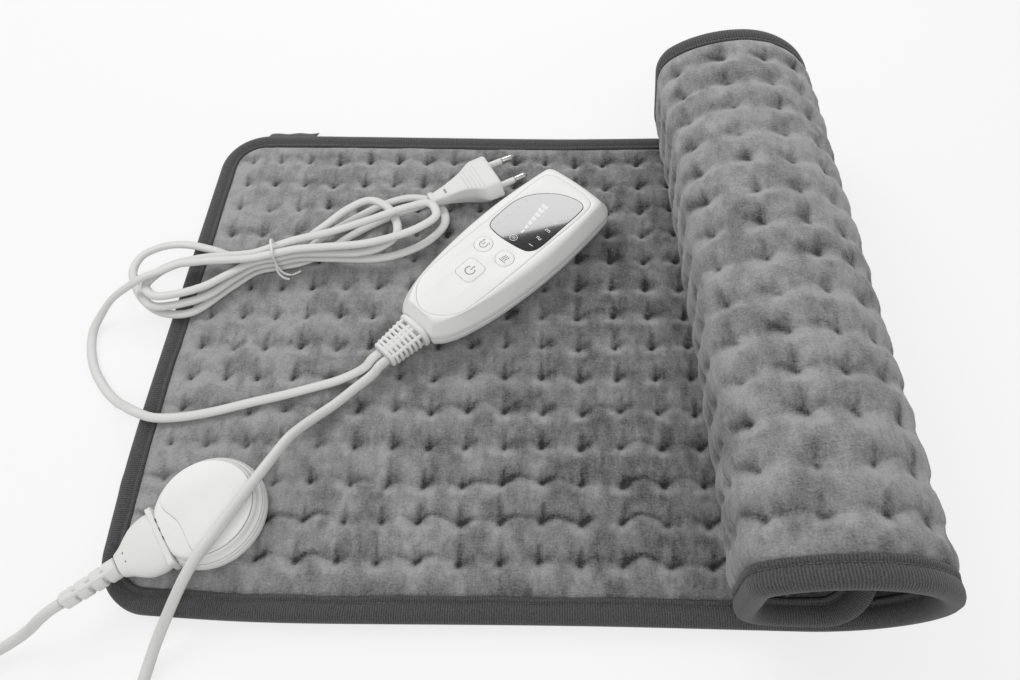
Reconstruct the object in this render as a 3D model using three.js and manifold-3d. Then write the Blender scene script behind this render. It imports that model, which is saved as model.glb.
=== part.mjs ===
// Heating pad with controller: a quilted plush pad, flat at the left and rolled up at the right, with a
// detachable corner connector, a three-button controller and a mains cord tied in a hank.
// Millimetres, +Z up, X along the pad from its left edge, Y from its front to its back, Z from the table.
import * as THREE from "three";
import { mergeVertices } from "three/addons/utils/BufferGeometryUtils.js";
import Module from "manifold-3d";

const wasm = await Module();
wasm.setup();

// Driving sizes of the pad
const padLength = 600;
const padWidth = 300;
const padThickness = 10.4;
const padCornerRadius = 28;
const tuftPitch = 19.2;
const tuftMargin = 20;
const flatRun = 324.5;
const ringRadius = 41;
const shoulderRadius = 13.3;
const footRadius = 18;
const layerGap = 0.6;
const ringTurn = THREE.MathUtils.degToRad(222);
const shoulderTurn = THREE.MathUtils.degToRad(53);
const rollSkew = 2.6;
const skewStart = 200;

// Driving sizes of the controller, the socket, the cords and the plug
const handsetLength = 131.4;
const handsetWidth = 57;
const handsetHeight = 20.5;
const handsetAngle = THREE.MathUtils.degToRad(47);
const handsetFromRoll = 178;
const handsetX = flatRun - handsetFromRoll;
const handsetY = 146.25;
const socketRadius = 27;
const socketHeight = 12;
const socketX = 55.5;
const socketY = 45.4;
const socketAngle = THREE.MathUtils.degToRad(217.5);
const leadDiameter = 5.2;
const mainsWidth = 5.2;
const mainsThickness = 3.2;
const plugWidth = 35.3;
const plugThickness = 13.7;
const plugLength = 42.5;
const plugAngle = THREE.MathUtils.degToRad(28.5);
const plugFromRoll = 180;
const plugX = flatRun - plugFromRoll;
const plugY = 237.7;

// Clearances
const gap = 0.3;
const slideGap = 0.4;
const cut = 1;
const mergeDistance = 0.0003;

// Side counts of round shapes
const socketSides = 28;
const boardSides = 24;
const bossSides = 20;
const buttonSides = 16;
const ovalSides = 16;
const reliefSides = 14;
const boreSides = 14;
const pinSides = 12;
const contactSides = 10;
const stretchSides = 8;
const loopSides = 6;
const wireSides = 4;

// Materials
const plush = { color: 0x8f8f8f, roughness: 0.95, metalness: 0 };
const knit = { color: 0x4a4a4a, roughness: 0.9, metalness: 0 };
const fleece = { color: 0xdcdad2, roughness: 0.95, metalness: 0 };
const whitePlastic = { color: 0xeeeeec, roughness: 0.35, metalness: 0 };
const softWhite = { color: 0xe2e2e0, roughness: 0.55, metalness: 0 };
const blackGloss = { color: 0x0c0c0d, roughness: 0.08, metalness: 0 };
const board = { color: 0x2f6b3a, roughness: 0.5, metalness: 0 };
const darkPlastic = { color: 0x26262a, roughness: 0.5, metalness: 0 };
const nickel = { color: 0xc4c4c2, roughness: 0.25, metalness: 1 };
const brass = { color: 0xc2a45a, roughness: 0.3, metalness: 1 };
const wireRed = { color: 0xc9b9a0, roughness: 0.6, metalness: 0 };

const root = new THREE.Group();
const cords = new THREE.Group();
root.add(cords);

function addMesh(parent, name, geometry, look) {
  const mesh = new THREE.Mesh(geometry, new THREE.MeshStandardMaterial(look));
  mesh.name = name;
  parent.add(mesh);
  return mesh;
}

// Solids: joins and cuts
function toSolid(geometry) {
  const bare = geometry.clone();
  bare.deleteAttribute("normal");
  bare.deleteAttribute("uv");
  const merged = mergeVertices(bare, mergeDistance);
  const vertProperties = Float32Array.from(merged.attributes.position.array);
  const triVerts = Uint32Array.from(merged.index.array);
  return new wasm.Manifold(new wasm.Mesh({ numProp: 3, vertProperties, triVerts }));
}

function toGeometry(solid) {
  const mesh = solid.getMesh();
  const geometry = new THREE.BufferGeometry();
  geometry.setAttribute("position", new THREE.BufferAttribute(Float32Array.from(mesh.vertProperties), 3));
  geometry.setIndex(new THREE.BufferAttribute(Uint32Array.from(mesh.triVerts), 1));
  geometry.computeVertexNormals();
  return geometry;
}

function cutAway(base, cutters) {
  let solid = toSolid(base);
  for (const cutter of cutters) {
    solid = solid.subtract(toSolid(cutter));
  }
  return toGeometry(solid);
}

function joinAll(pieces) {
  let solid = toSolid(pieces[0]);
  for (const piece of pieces.slice(1)) {
    solid = solid.add(toSolid(piece));
  }
  return toGeometry(solid);
}

function keepWithin(base, limit) {
  return toGeometry(toSolid(base).intersect(toSolid(limit)));
}

// Shapes
function block(x0, x1, y0, y1, z0, z1) {
  const geometry = new THREE.BoxGeometry(x1 - x0, y1 - y0, z1 - z0);
  geometry.translate((x0 + x1) / 2, (y0 + y1) / 2, (z0 + z1) / 2);
  return geometry;
}

function uprightRod(radius, x, y, z0, z1, sides) {
  const geometry = new THREE.CylinderGeometry(radius, radius, z1 - z0, sides);
  geometry.rotateX(Math.PI / 2);
  geometry.translate(x, y, (z0 + z1) / 2);
  return geometry;
}

function lyingRod(radius, x0, x1, y, z, sides) {
  const geometry = new THREE.CylinderGeometry(radius, radius, x1 - x0, sides);
  geometry.rotateZ(-Math.PI / 2);
  geometry.translate((x0 + x1) / 2, y, z);
  return geometry;
}

function plate(outline, z0, z1) {
  const shape = new THREE.Shape(outline.map(([x, y]) => new THREE.Vector2(x, y)));
  const geometry = new THREE.ExtrudeGeometry(shape, { depth: z1 - z0, bevelEnabled: false });
  geometry.translate(0, 0, z0);
  return geometry;
}

function roundedRectangle(x0, x1, y0, y1, radius, steps) {
  const points = [];
  const centres = [[x1 - radius, y0 + radius], [x1 - radius, y1 - radius], [x0 + radius, y1 - radius],
    [x0 + radius, y0 + radius]];
  for (const [quarter, [cx, cy]] of centres.entries()) {
    for (let i = 0; i <= steps; i += 1) {
      const angle = (Math.PI / 2) * (quarter - 1 + i / steps);
      points.push([cx + radius * Math.cos(angle), cy + radius * Math.sin(angle)]);
    }
  }
  return points;
}

function circleOutline(radius, sides) {
  const points = [];
  for (let i = 0; i < sides; i += 1) {
    const angle = (2 * Math.PI * i) / sides;
    points.push([radius * Math.cos(angle), radius * Math.sin(angle)]);
  }
  return points;
}

// An outline moved inwards by a distance, edge by edge
function inset(outline, distance) {
  const count = outline.length;
  return outline.map((point, i) => {
    const before = outline[(i + count - 1) % count];
    const after = outline[(i + 1) % count];
    const a = new THREE.Vector2(point[0] - before[0], point[1] - before[1]).normalize();
    const b = new THREE.Vector2(after[0] - point[0], after[1] - point[1]).normalize();
    const normal = new THREE.Vector2(-a.y - b.y, a.x + b.x).normalize();
    const reach = distance / Math.max(normal.x * -a.y + normal.y * a.x, Number.EPSILON);
    return [point[0] + normal.x * reach, point[1] + normal.y * reach];
  });
}

// A closed body through rings of points, either with two caps or joined end to end
function loft(rings, looped = false) {
  const sides = rings[0].length;
  const positions = rings.flat().flatMap((p) => [p.x, p.y, p.z]);
  const triangles = [];
  const spans = looped ? rings.length : rings.length - 1;
  for (let i = 0; i < spans; i += 1) {
    const next = (i + 1) % rings.length;
    for (let j = 0; j < sides; j += 1) {
      const k = (j + 1) % sides;
      triangles.push([i * sides + j, next * sides + j, next * sides + k]);
      triangles.push([i * sides + j, next * sides + k, i * sides + k]);
    }
  }
  if (!looped) {
    const last = (rings.length - 1) * sides;
    for (let j = 1; j < sides - 1; j += 1) {
      triangles.push([0, j, j + 1]);
      triangles.push([last, last + j + 1, last + j]);
    }
  }
  return closedBody(positions, triangles);
}

// A closed body from points and triangles, with its faces turned outwards
function closedBody(positions, triangles) {
  let volume = 0;
  const corner = (i) => new THREE.Vector3(positions[3 * i], positions[3 * i + 1], positions[3 * i + 2]);
  for (const [a, b, c] of triangles) {
    volume += corner(a).dot(corner(b).cross(corner(c)));
  }
  const turned = volume < 0 ? triangles.map(([a, b, c]) => [a, c, b]) : triangles;
  const geometry = new THREE.BufferGeometry();
  geometry.setAttribute("position", new THREE.BufferAttribute(new Float32Array(positions), 3));
  geometry.setIndex(turned.flat());
  geometry.computeVertexNormals();
  return geometry;
}

function levelRing(outline, z) {
  return outline.map(([x, y]) => new THREE.Vector3(x, y, z));
}

// The pad's path: a flat run, the ring of the roll, its left shoulder and wall, its foot, and the end inside
const middleHeight = padThickness / 2;
const layerPitch = padThickness + layerGap;
const wallHeading = ringTurn + shoulderTurn;
const innerRadius = ringRadius - layerPitch;

function advance(state, length, radius) {
  if (radius === Infinity) {
    return {
      x: state.x + length * Math.cos(state.heading),
      z: state.z + length * Math.sin(state.heading),
      heading: state.heading,
    };
  }
  const turned = state.heading + length / radius;
  return {
    x: state.x + radius * (Math.sin(turned) - Math.sin(state.heading)),
    z: state.z - radius * (Math.cos(turned) - Math.cos(state.heading)),
    heading: turned,
  };
}

const padPath = [
  [flatRun, Infinity],
  [ringTurn * ringRadius, ringRadius],
  [shoulderTurn * shoulderRadius, shoulderRadius],
];
let pathState = { x: 0, z: middleHeight, heading: 0 };
for (const [length, radius] of padPath) {
  pathState = advance(pathState, length, radius);
}
const footDrop = footRadius * (1 - Math.cos(2 * Math.PI - wallHeading));
const wallLength = (pathState.z - footDrop - middleHeight - layerPitch) / -Math.sin(wallHeading);
padPath.push([wallLength, Infinity]);
padPath.push([(2 * Math.PI - wallHeading) * footRadius, footRadius]);
const footEnd = pathState.x + wallLength * Math.cos(wallHeading) + footRadius * -Math.sin(wallHeading);
padPath.push([flatRun - footEnd, Infinity]);
padPath.push([padLength, innerRadius]);

function onPath(s) {
  let state = { x: 0, z: middleHeight, heading: 0 };
  let left = s;
  for (const [length, radius] of padPath) {
    const step = Math.min(left, length);
    state = advance(state, step, radius);
    left -= step;
    if (left <= 0) {
      break;
    }
  }
  return state;
}

// A point of the pad, from its place along and across the pad and its height over the pad's middle surface.
// The roll lies a little askew, its front end further to the right.
function onPad(s, y, n) {
  const { x, z, heading } = onPath(s);
  const skewShare = Math.min(Math.max((s - skewStart) / (flatRun - skewStart), 0), 1);
  const shift = rollSkew * skewShare * (1 - (2 * y) / padWidth);
  return new THREE.Vector3(x + shift - n * Math.sin(heading), y, z + n * Math.cos(heading));
}

// Tufts, and the lines across the pad that all of its layers share, so that they bend alike in the roll
const tuftColumns = Math.floor((padLength - 2 * tuftMargin) / tuftPitch) + 1;
const tuftRows = Math.floor((padWidth - 2 * tuftMargin) / tuftPitch) + 1;
const tuftS = [];
for (let k = 0; k < tuftColumns; k += 1) {
  tuftS.push(padLength / 2 + (k - (tuftColumns - 1) / 2) * tuftPitch);
}
const tuftY = [];
for (let j = 0; j < tuftRows; j += 1) {
  tuftY.push(padWidth / 2 + (j - (tuftRows - 1) / 2) * tuftPitch);
}
const isCurved = (s) => s > flatRun - tuftPitch / 2;

// Heights of the pad's layers over its middle surface
const sheetHalf = 0.3;
const wireRadius = 0.6;
const wireLevel = -(sheetHalf + gap + wireRadius);
const upperInner = sheetHalf + gap;
const lowerInner = wireLevel - wireRadius - gap;
const coverAtTuft = 1.2;
const coverAtLip = 1.5;
const crownHeight = middleHeight;
const seamRise = 0.8;
const marginCrownShare = 0.92;

// Edge of the covers and the binding that wraps it
const coverInset = 2.2;
const bindingBand = 11;
const bindingThickness = 0.9;
const bindingClearance = 0.6;
const lipInset = bindingBand + bindingClearance;
const cornerSteps = 4;

// Stations round the pad's rounded outline at an inset, side by side with the tuft lines
function outlineStations(insetBy) {
  const r = padCornerRadius;
  const cornerReach = r - insetBy;
  const edgeAt = (offset) => (offset >= r ? insetBy : r - Math.sqrt(cornerReach ** 2 - (r - offset) ** 2));
  const sideAngle = Math.asin((r - tuftY[0]) / cornerReach);
  const frontAngle = Math.acos((r - tuftS[0]) / cornerReach);
  const corner = [];
  for (let i = 1; i < cornerSteps; i += 1) {
    const angle = sideAngle + ((frontAngle - sideAngle) * i) / cornerSteps;
    corner.push([r - cornerReach * Math.cos(angle), r - cornerReach * Math.sin(angle)]);
  }
  const lengthwise = [];
  tuftS.forEach((s, k) => {
    lengthwise.push({ s, at: k });
    if (k < tuftColumns - 1 && isCurved(s)) {
      lengthwise.push({ s: s + tuftPitch / 2, at: k + 0.5 });
    }
  });
  const fromEnd = (s) => Math.min(s, padLength - s);
  const fromSide = (y) => Math.min(y, padWidth - y);
  const frontSide = lengthwise.map(({ s, at }) => ({ s, y: edgeAt(fromEnd(s)), side: "front", at }));
  const backSide = lengthwise.map(({ s, at }) => ({ s, y: padWidth - edgeAt(fromEnd(s)), side: "back", at }));
  const rightSide = tuftY.map((y, at) => ({ s: padLength - edgeAt(fromSide(y)), y, side: "right", at }));
  const leftSide = tuftY.map((y, at) => ({ s: edgeAt(fromSide(y)), y, side: "left", at }));
  const backwards = [...corner].reverse();
  return [
    ...frontSide,
    ...backwards.map(([s, y]) => ({ s: padLength - s, y, side: "corner" })),
    ...rightSide,
    ...corner.map(([s, y]) => ({ s: padLength - s, y: padWidth - y, side: "corner" })),
    ...backSide.reverse(),
    ...backwards.map(([s, y]) => ({ s, y: padWidth - y, side: "corner" })),
    ...leftSide.reverse(),
    ...corner.map(([s, y]) => ({ s, y, side: "corner" })),
  ];
}

// One cover: tufted outside, plain inside. sign is 1 for the upper cover and -1 for the lower one, whose
// outside lies pressed flat on the table along the flat run.
function cover(sign, innerLevel, tuftLevel, lipLevel) {
  const positions = [];
  const triangles = [];
  const point = (s, y, n) => {
    const p = onPad(s, y, n);
    positions.push(p.x, p.y, p.z);
    return positions.length / 3 - 1;
  };
  const pressed = (k) => sign < 0 && !isCurved(tuftS[k]);
  const tufts = tuftS.map((s, k) => {
    const level = sign * (pressed(k) ? crownHeight : tuftLevel);
    return tuftY.map((y) => point(s, y, level));
  });
  const lip = outlineStations(lipInset).map((t) => ({ ...t, id: point(t.s, t.y, sign * lipLevel) }));
  const rim = outlineStations(coverInset).map((t) => ({ ...t, id: point(t.s, t.y, sign * lipLevel) }));
  const hem = outlineStations(coverInset).map((t) => ({ ...t, id: point(t.s, t.y, innerLevel) }));
  const fan = (centre, loop) => {
    for (let i = 0; i < loop.length; i += 1) {
      triangles.push([centre, loop[i], loop[(i + 1) % loop.length]]);
    }
  };
  const onSide = (side, from, to) => {
    const found = lip.filter((t) => t.side === side && t.at >= from && t.at <= to);
    return found.map((t) => t.id);
  };
  // Tuft to tuft along the pad, with a point halfway where the lower cover bends round the roll
  const seam = tuftS.map((s, k) => {
    const bends = sign < 0 && k < tuftColumns - 1 && isCurved(s);
    return tuftY.map((y) => (bends ? [point(s + tuftPitch / 2, y, sign * (tuftLevel + seamRise))] : []));
  });
  const between = (k, j) => [tufts[k][j], ...seam[k][j], tufts[k + 1][j]];
  for (let k = 0; k < tuftColumns - 1; k += 1) {
    const middleS = tuftS[k] + tuftPitch / 2;
    for (let j = 0; j < tuftRows - 1; j += 1) {
      const cell = [...between(k, j), ...between(k, j + 1).reverse()];
      if (pressed(k) && pressed(k + 1)) {
        triangles.push([cell[0], cell[1], cell[2]], [cell[0], cell[2], cell[3]]);
      } else {
        fan(point(middleS, tuftY[j] + tuftPitch / 2, sign * crownHeight), cell);
      }
    }
    const marginY = (tuftY[0] + lipInset) / 2;
    const crown = sign * crownHeight * marginCrownShare;
    const margins = [
      { y: marginY, around: [...between(k, 0).reverse(), ...onSide("front", k, k + 1)] },
      { y: padWidth - marginY, around: [...between(k, tuftRows - 1), ...onSide("back", k, k + 1)] },
    ];
    for (const { y, around } of margins) {
      if (pressed(k) && pressed(k + 1)) {
        triangles.push([around[0], around[1], around[2]], [around[0], around[2], around[3]]);
      } else {
        fan(point(middleS, y, crown), around);
      }
    }
  }
  for (let j = 0; j < tuftRows - 1; j += 1) {
    const left = onSide("left", j, j + 1);
    const right = onSide("right", j, j + 1);
    const a = [tufts[0][j], tufts[0][j + 1], ...left];
    const b = [tufts[tuftColumns - 1][j + 1], tufts[tuftColumns - 1][j], ...right];
    for (const quad of [a, b]) {
      triangles.push([quad[0], quad[1], quad[2]], [quad[0], quad[2], quad[3]]);
    }
  }
  // Corners: a fan from the corner tuft over the lip's stations
  const count = lip.length;
  lip.forEach((t, i) => {
    const next = lip[(i + 1) % count];
    if (t.side === "corner" || next.side === "corner") {
      const k = t.s < padLength / 2 ? 0 : tuftColumns - 1;
      const j = t.y < padWidth / 2 ? 0 : tuftRows - 1;
      triangles.push([tufts[k][j], next.id, t.id].reverse());
    }
  });
  // Lip to rim, and rim to hem
  for (const [outer, inner] of [[lip, rim], [rim, hem]]) {
    for (let i = 0; i < count; i += 1) {
      const j = (i + 1) % count;
      triangles.push([outer[i].id, outer[j].id, inner[j].id], [outer[i].id, inner[j].id, inner[i].id]);
    }
  }
  // Plain inside: bands across the pad between stations that face each other
  const half = hem.filter((t) => t.side === "front");
  const opposite = hem.filter((t) => t.side === "back").reverse();
  for (let i = 0; i < half.length - 1; i += 1) {
    triangles.push([half[i].id, opposite[i].id, opposite[i + 1].id]);
    triangles.push([half[i].id, opposite[i + 1].id, half[i + 1].id]);
  }
  const startOf = (side, last) => hem.findIndex((t) => t.side === side && t.at === last);
  const rightLoop = [];
  for (let i = startOf("front", tuftColumns - 1); i <= startOf("back", tuftColumns - 1); i += 1) {
    rightLoop.push(hem[i].id);
  }
  const leftLoop = [];
  for (let i = startOf("back", 0); i < count; i += 1) {
    leftLoop.push(hem[i].id);
  }
  leftLoop.push(hem[0].id);
  for (const loop of [rightLoop, leftLoop]) {
    for (let i = 1, j = loop.length - 2; i <= j; i += 1, j -= 1) {
      triangles.push([loop[i - 1], loop[j + 1], loop[j]]);
      if (i < j) {
        triangles.push([loop[i - 1], loop[j], loop[i]]);
      }
    }
  }
  // The outside was laid out seen from outside, the inside seen from inside
  return windAlike(positions, triangles);
}

// Turns every triangle the same way round as its neighbours, starting from the first
function windAlike(positions, triangles) {
  const edges = new Map();
  triangles.forEach((triangle, t) => {
    for (let i = 0; i < 3; i += 1) {
      const a = triangle[i];
      const b = triangle[(i + 1) % 3];
      const key = a < b ? `${a} ${b}` : `${b} ${a}`;
      if (!edges.has(key)) {
        edges.set(key, []);
      }
      edges.get(key).push(t);
    }
  });
  const seen = new Set([0]);
  const queue = [0];
  while (queue.length > 0) {
    const t = queue.pop();
    const triangle = triangles[t];
    for (let i = 0; i < 3; i += 1) {
      const a = triangle[i];
      const b = triangle[(i + 1) % 3];
      const key = a < b ? `${a} ${b}` : `${b} ${a}`;
      for (const other of edges.get(key)) {
        if (!seen.has(other)) {
          const next = triangles[other];
          const sameWay = next.some((v, n) => v === a && next[(n + 1) % 3] === b);
          if (sameWay) {
            next.reverse();
          }
          seen.add(other);
          queue.push(other);
        }
      }
    }
  }
  return closedBody(positions, triangles);
}

// Pad
const upperTuft = upperInner + coverAtTuft;
const lowerTuft = -lowerInner + coverAtTuft;
const upperLip = upperInner + coverAtLip;
const lowerLip = -lowerInner + coverAtLip;
addMesh(root, "top_cover", cover(1, upperInner, upperTuft, upperLip), plush);
addMesh(root, "bottom_cover", cover(-1, lowerInner, lowerTuft, lowerLip), plush);

function bindingLoop() {
  const top = upperLip + bindingClearance;
  const bottom = lowerLip + bindingClearance;
  const profile = [
    [bindingBand, top + bindingThickness],
    [bindingThickness * 2, top + bindingThickness],
    [0, upperLip],
    [0, -lowerLip],
    [bindingThickness * 2, -bottom - bindingThickness],
    [bindingBand, -bottom - bindingThickness],
    [bindingBand, -bottom],
    [bindingThickness * 2, -bottom],
    [bindingThickness * 2, top],
    [bindingBand, top],
  ];
  const rails = profile.map(([insetBy]) => outlineStations(insetBy));
  const needed = rails[0].map((t, i) => {
    const straightRun = (t.side === "front" || t.side === "back") && t.at > 1 && !isCurved(t.s);
    const straightEnd = (t.side === "left" || t.side === "right") && t.at > 1 && t.at < tuftRows - 2;
    return straightRun || straightEnd ? -1 : i;
  }).filter((i) => i >= 0);
  const rings = needed.map((i) => profile.map(([, n], p) => onPad(rails[p][i].s, rails[p][i].y, n)));
  return loft(rings, true);
}
addMesh(root, "edge_binding", bindingLoop(), knit);

// Heating layer and its wire, between the covers
const wireColumns = Math.floor(tuftColumns / 2);
const wireFirst = tuftS[0] + tuftPitch / 2;
const wirePitch = 2 * tuftPitch;
const sheetMargin = 16;

function heatingLayer() {
  const lines = [tuftS[0]];
  for (let s = tuftS[0]; s <= tuftS[tuftColumns - 2] + tuftPitch / 2; s += tuftPitch / 2) {
    if (isCurved(s)) {
      lines.push(s);
    }
  }
  const rings = lines.map((s) => [
    onPad(s, sheetMargin, sheetHalf),
    onPad(s, padWidth - sheetMargin, sheetHalf),
    onPad(s, padWidth - sheetMargin, -sheetHalf),
    onPad(s, sheetMargin, -sheetHalf),
  ]);
  return loft(rings);
}
addMesh(root, "heating_layer", heatingLayer(), fleece);

function heatingWire() {
  const turnY = wirePitch / 2;
  const nearY = tuftY[0] + turnY;
  const farY = padWidth - nearY;
  const places = [];
  for (let i = 0; i < wireColumns - 1; i += 1) {
    const s = wireFirst + i * wirePitch;
    const up = i % 2 === 0;
    if (i === 0) {
      places.push([s, nearY]);
    }
    const turnAt = up ? farY : nearY;
    const away = up ? 1 : -1;
    for (let q = 0; q <= 4; q += 1) {
      const along = (q / 4) * wirePitch;
      const bulge = Math.sqrt(Math.max(turnY ** 2 - (along - turnY) ** 2, 0));
      places.push([s + along, turnAt + away * bulge]);
    }
  }
  places.push([wireFirst + (wireColumns - 1) * wirePitch, wireColumns % 2 === 0 ? nearY : farY]);
  const rings = places.map(([s, y], i) => {
    const before = places[Math.max(i - 1, 0)];
    const after = places[Math.min(i + 1, places.length - 1)];
    const into = new THREE.Vector2(s - before[0], y - before[1]);
    const out = new THREE.Vector2(after[0] - s, after[1] - y);
    const a = into.length() > 0 ? into.normalize() : out.clone().normalize();
    const b = out.length() > 0 ? out.normalize() : a.clone();
    const direction = a.clone().add(b).normalize();
    const spread = 1 / Math.max(direction.dot(a), Number.EPSILON);
    const ring = [];
    for (let q = 0; q < wireSides; q += 1) {
      const angle = (2 * Math.PI * q) / wireSides;
      const side = Math.cos(angle) * wireRadius * spread;
      const level = wireLevel + Math.sin(angle) * wireRadius;
      ring.push(onPad(s - direction.y * side, y + direction.x * side, level));
    }
    return ring;
  });
  return loft(rings);
}
addMesh(root, "heating_wire", heatingWire(), wireRed);

// Blank fabric tab sewn in at the back edge
const tabStart = 25;
const tabWidth = 33;
const tabReach = 10.5;
const tabThickness = 0.7;
addMesh(root, "fabric_tab", block(tabStart, tabStart + tabWidth, padWidth + gap, padWidth + gap + tabReach,
  middleHeight - tabThickness / 2, middleHeight + tabThickness / 2), knit);

// Round socket on the pad's corner, in its own frame with +X towards the connector
const socket = new THREE.Group();
socket.position.set(socketX, socketY, padThickness + gap);
socket.rotation.z = socketAngle;
root.add(socket);

const socketFace = 21;
const socketWall = 1.6;
const socketSplit = 4.6;
const socketTopRadius = 24.2;
const socketShoulder = 10.4;
const noseHalfWidth = 13.5;
const noseHeight = 10;
const mouthHalfWidth = 9;
const mouthBottom = 3.6;
const mouthTop = 8.4;
const recessInner = 17.5;
const recessOuter = 22.4;
const recessDepth = 1.6;
const recessBulge = 1;
const recessStart = THREE.MathUtils.degToRad(30);
const recessTurn = THREE.MathUtils.degToRad(120);
const mouthStart = socketFace - 3 * socketWall;
const socketReach = 2 * socketRadius;

function socketDisc(profile) {
  return loft(profile.map(([radius, z]) => levelRing(circleOutline(radius, socketSides), z)));
}

function socketBody(z0, z1, profile) {
  const noseOutline = roundedRectangle(0, socketFace, -noseHalfWidth, noseHalfWidth, socketWall, 2);
  const whole = joinAll([socketDisc(profile), plate(noseOutline, 0, noseHeight)]);
  return keepWithin(whole, block(-socketReach, socketFace, -socketReach, socketReach, z0, z1));
}

function socketProfile(shrink) {
  return [
    [socketRadius - shrink - socketWall / 2, shrink],
    [socketRadius - shrink, shrink + socketWall / 2],
    [socketRadius - shrink, socketSplit + socketWall],
    [socketTopRadius - shrink + socketWall, socketShoulder - shrink / 2],
    [socketTopRadius - shrink, socketHeight - shrink],
  ];
}

function mouth() {
  return block(mouthStart, socketFace + cut, -mouthHalfWidth, mouthHalfWidth, mouthBottom, mouthTop);
}

function socketHollow() {
  const end = socketFace - 2 * socketWall;
  const back = block(-socketReach, end, -socketReach, socketReach, 0, socketHeight);
  return keepWithin(socketDisc(socketProfile(socketWall)), back);
}

addMesh(socket, "socket_base",
  cutAway(socketBody(0, socketSplit, socketProfile(0)), [socketHollow(), mouth()]), whitePlastic);

function crescent() {
  const steps = 12;
  const points = [];
  for (let i = 0; i <= steps; i += 1) {
    const angle = recessStart + (recessTurn * i) / steps;
    points.push([recessOuter * Math.cos(angle), recessOuter * Math.sin(angle)]);
  }
  for (let i = steps; i >= 0; i -= 1) {
    const angle = recessStart + (recessTurn * i) / steps;
    const bulge = i > 0 && i < steps ? recessBulge : 0;
    points.push([recessInner * Math.cos(angle), recessInner * Math.sin(angle) + bulge]);
  }
  return plate(points, socketHeight - recessDepth, socketHeight + cut);
}

const coverHollow = keepWithin(socketHollow(),
  block(-socketRadius, socketFace, -socketRadius, socketRadius, 0, socketHeight - recessDepth - socketWall));
const coverBlank = socketBody(socketSplit + gap, socketHeight, socketProfile(0));
addMesh(socket, "socket_cover", cutAway(coverBlank, [coverHollow, mouth(), crescent()]), whitePlastic);

const boardThickness = 1.2;
const socketBoardRadius = 16;
const socketBoardBottom = socketWall + gap;
const socketBoardTop = socketBoardBottom + boardThickness;
const socketBoardOutline = circleOutline(socketBoardRadius, boardSides);
addMesh(socket, "socket_board", plate(socketBoardOutline, socketBoardBottom, socketBoardTop), board);

const thermostatLength = 9;
const thermostatWidth = 5;
const thermostatHeight = 3.2;
const partZ = socketBoardTop + gap;
const thermostatSide = 2 * gap;
addMesh(socket, "thermostat", block(-thermostatLength, 0, thermostatSide, thermostatSide + thermostatWidth,
  partZ, partZ + thermostatHeight), darkPlastic);
const fuseRadius = 1.4;
const fuseLength = 8;
addMesh(socket, "thermal_fuse",
  lyingRod(fuseRadius, -fuseLength, 0, -thermostatWidth, partZ + fuseRadius, pinSides), nickel);

// Three contact pins stand in the mouth; the connector's sleeves slide over them
const contactPitch = 5;
const contactRadius = 0.7;
const contactZ = (mouthBottom + mouthTop) / 2;
const contactBack = 9;
const contactTip = 19.5;
for (let i = -1; i <= 1; i += 1) {
  const name = `socket_contact_${i + 2}`;
  const y = i * contactPitch;
  const leg = uprightRod(contactRadius, contactBack + contactRadius, y, partZ, contactZ, contactSides);
  const pin = lyingRod(contactRadius, contactBack, contactTip, y, contactZ, contactSides);
  addMesh(socket, name, joinAll([pin, leg]), brass);
}

// Connector that plugs into the socket's face, in the same frame
const flangeThickness = 2.8;
const flangeHalfWidth = 16.2;
const flangeBottom = 1;
const flangeTop = 11.6;
const connectorLength = 20;
const reliefLength = 27;
const reliefRadius = 5.2;
const reliefEndRadius = 4;
const reliefZ = 6;
const connectorWidthShares = [0.926, 0.877, 0.765, 0.568, 0.407, 0.346];
const connectorHeightShares = [0.98, 0.967, 0.915, 0.846, 0.78, 0.717];
const tongueInset = 0.9;
const tongueLength = 3 * socketWall - slideGap;
const sleeveBore = contactRadius + slideGap;
const flangeFace = socketFace + gap;
const bodyStart = flangeFace + flangeThickness;
const connectorHalfHeight = (flangeTop - flangeBottom) / 2;
const bodyEnd = bodyStart + connectorLength;
const boreEnd = bodyStart + flangeThickness;

const ovalPower = 0.7;
function ovalRing(x, halfWidth, halfHeight, z, sides) {
  const ring = [];
  for (let i = 0; i < sides; i += 1) {
    const angle = (2 * Math.PI * i) / sides;
    const c = Math.sign(Math.cos(angle)) * Math.abs(Math.cos(angle)) ** ovalPower;
    const t = Math.sign(Math.sin(angle)) * Math.abs(Math.sin(angle)) ** ovalPower;
    ring.push(new THREE.Vector3(x, halfWidth * c, z + halfHeight * t));
  }
  return ring;
}

function connectorBody() {
  const steps = connectorWidthShares.length - 1;
  const middle = (flangeTop + flangeBottom) / 2;
  const rings = connectorWidthShares.map((widthShare, i) => {
    const share = i / steps;
    const z = middle + (reliefZ - middle) * share;
    return ovalRing(bodyStart - gap / 2 + connectorLength * share, widthShare * flangeHalfWidth,
      connectorHeightShares[i] * connectorHalfHeight, z, ovalSides);
  });
  const flange = block(flangeFace, bodyStart, -flangeHalfWidth, flangeHalfWidth, flangeBottom, flangeTop);
  const tongue = block(flangeFace - tongueLength, flangeFace + cut, -mouthHalfWidth + tongueInset,
    mouthHalfWidth - tongueInset, mouthBottom + tongueInset / 2, mouthTop - tongueInset / 2);
  const boreStart = flangeFace - tongueLength - cut;
  const bores = [-1, 0, 1].map((i) => lyingRod(sleeveBore, boreStart, boreEnd, i * contactPitch, contactZ,
    contactSides));
  return cutAway(joinAll([loft(rings), flange, tongue]), bores);
}
const connector = new THREE.Group();
socket.add(connector);
addMesh(connector, "connector_body", connectorBody(), softWhite);

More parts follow.
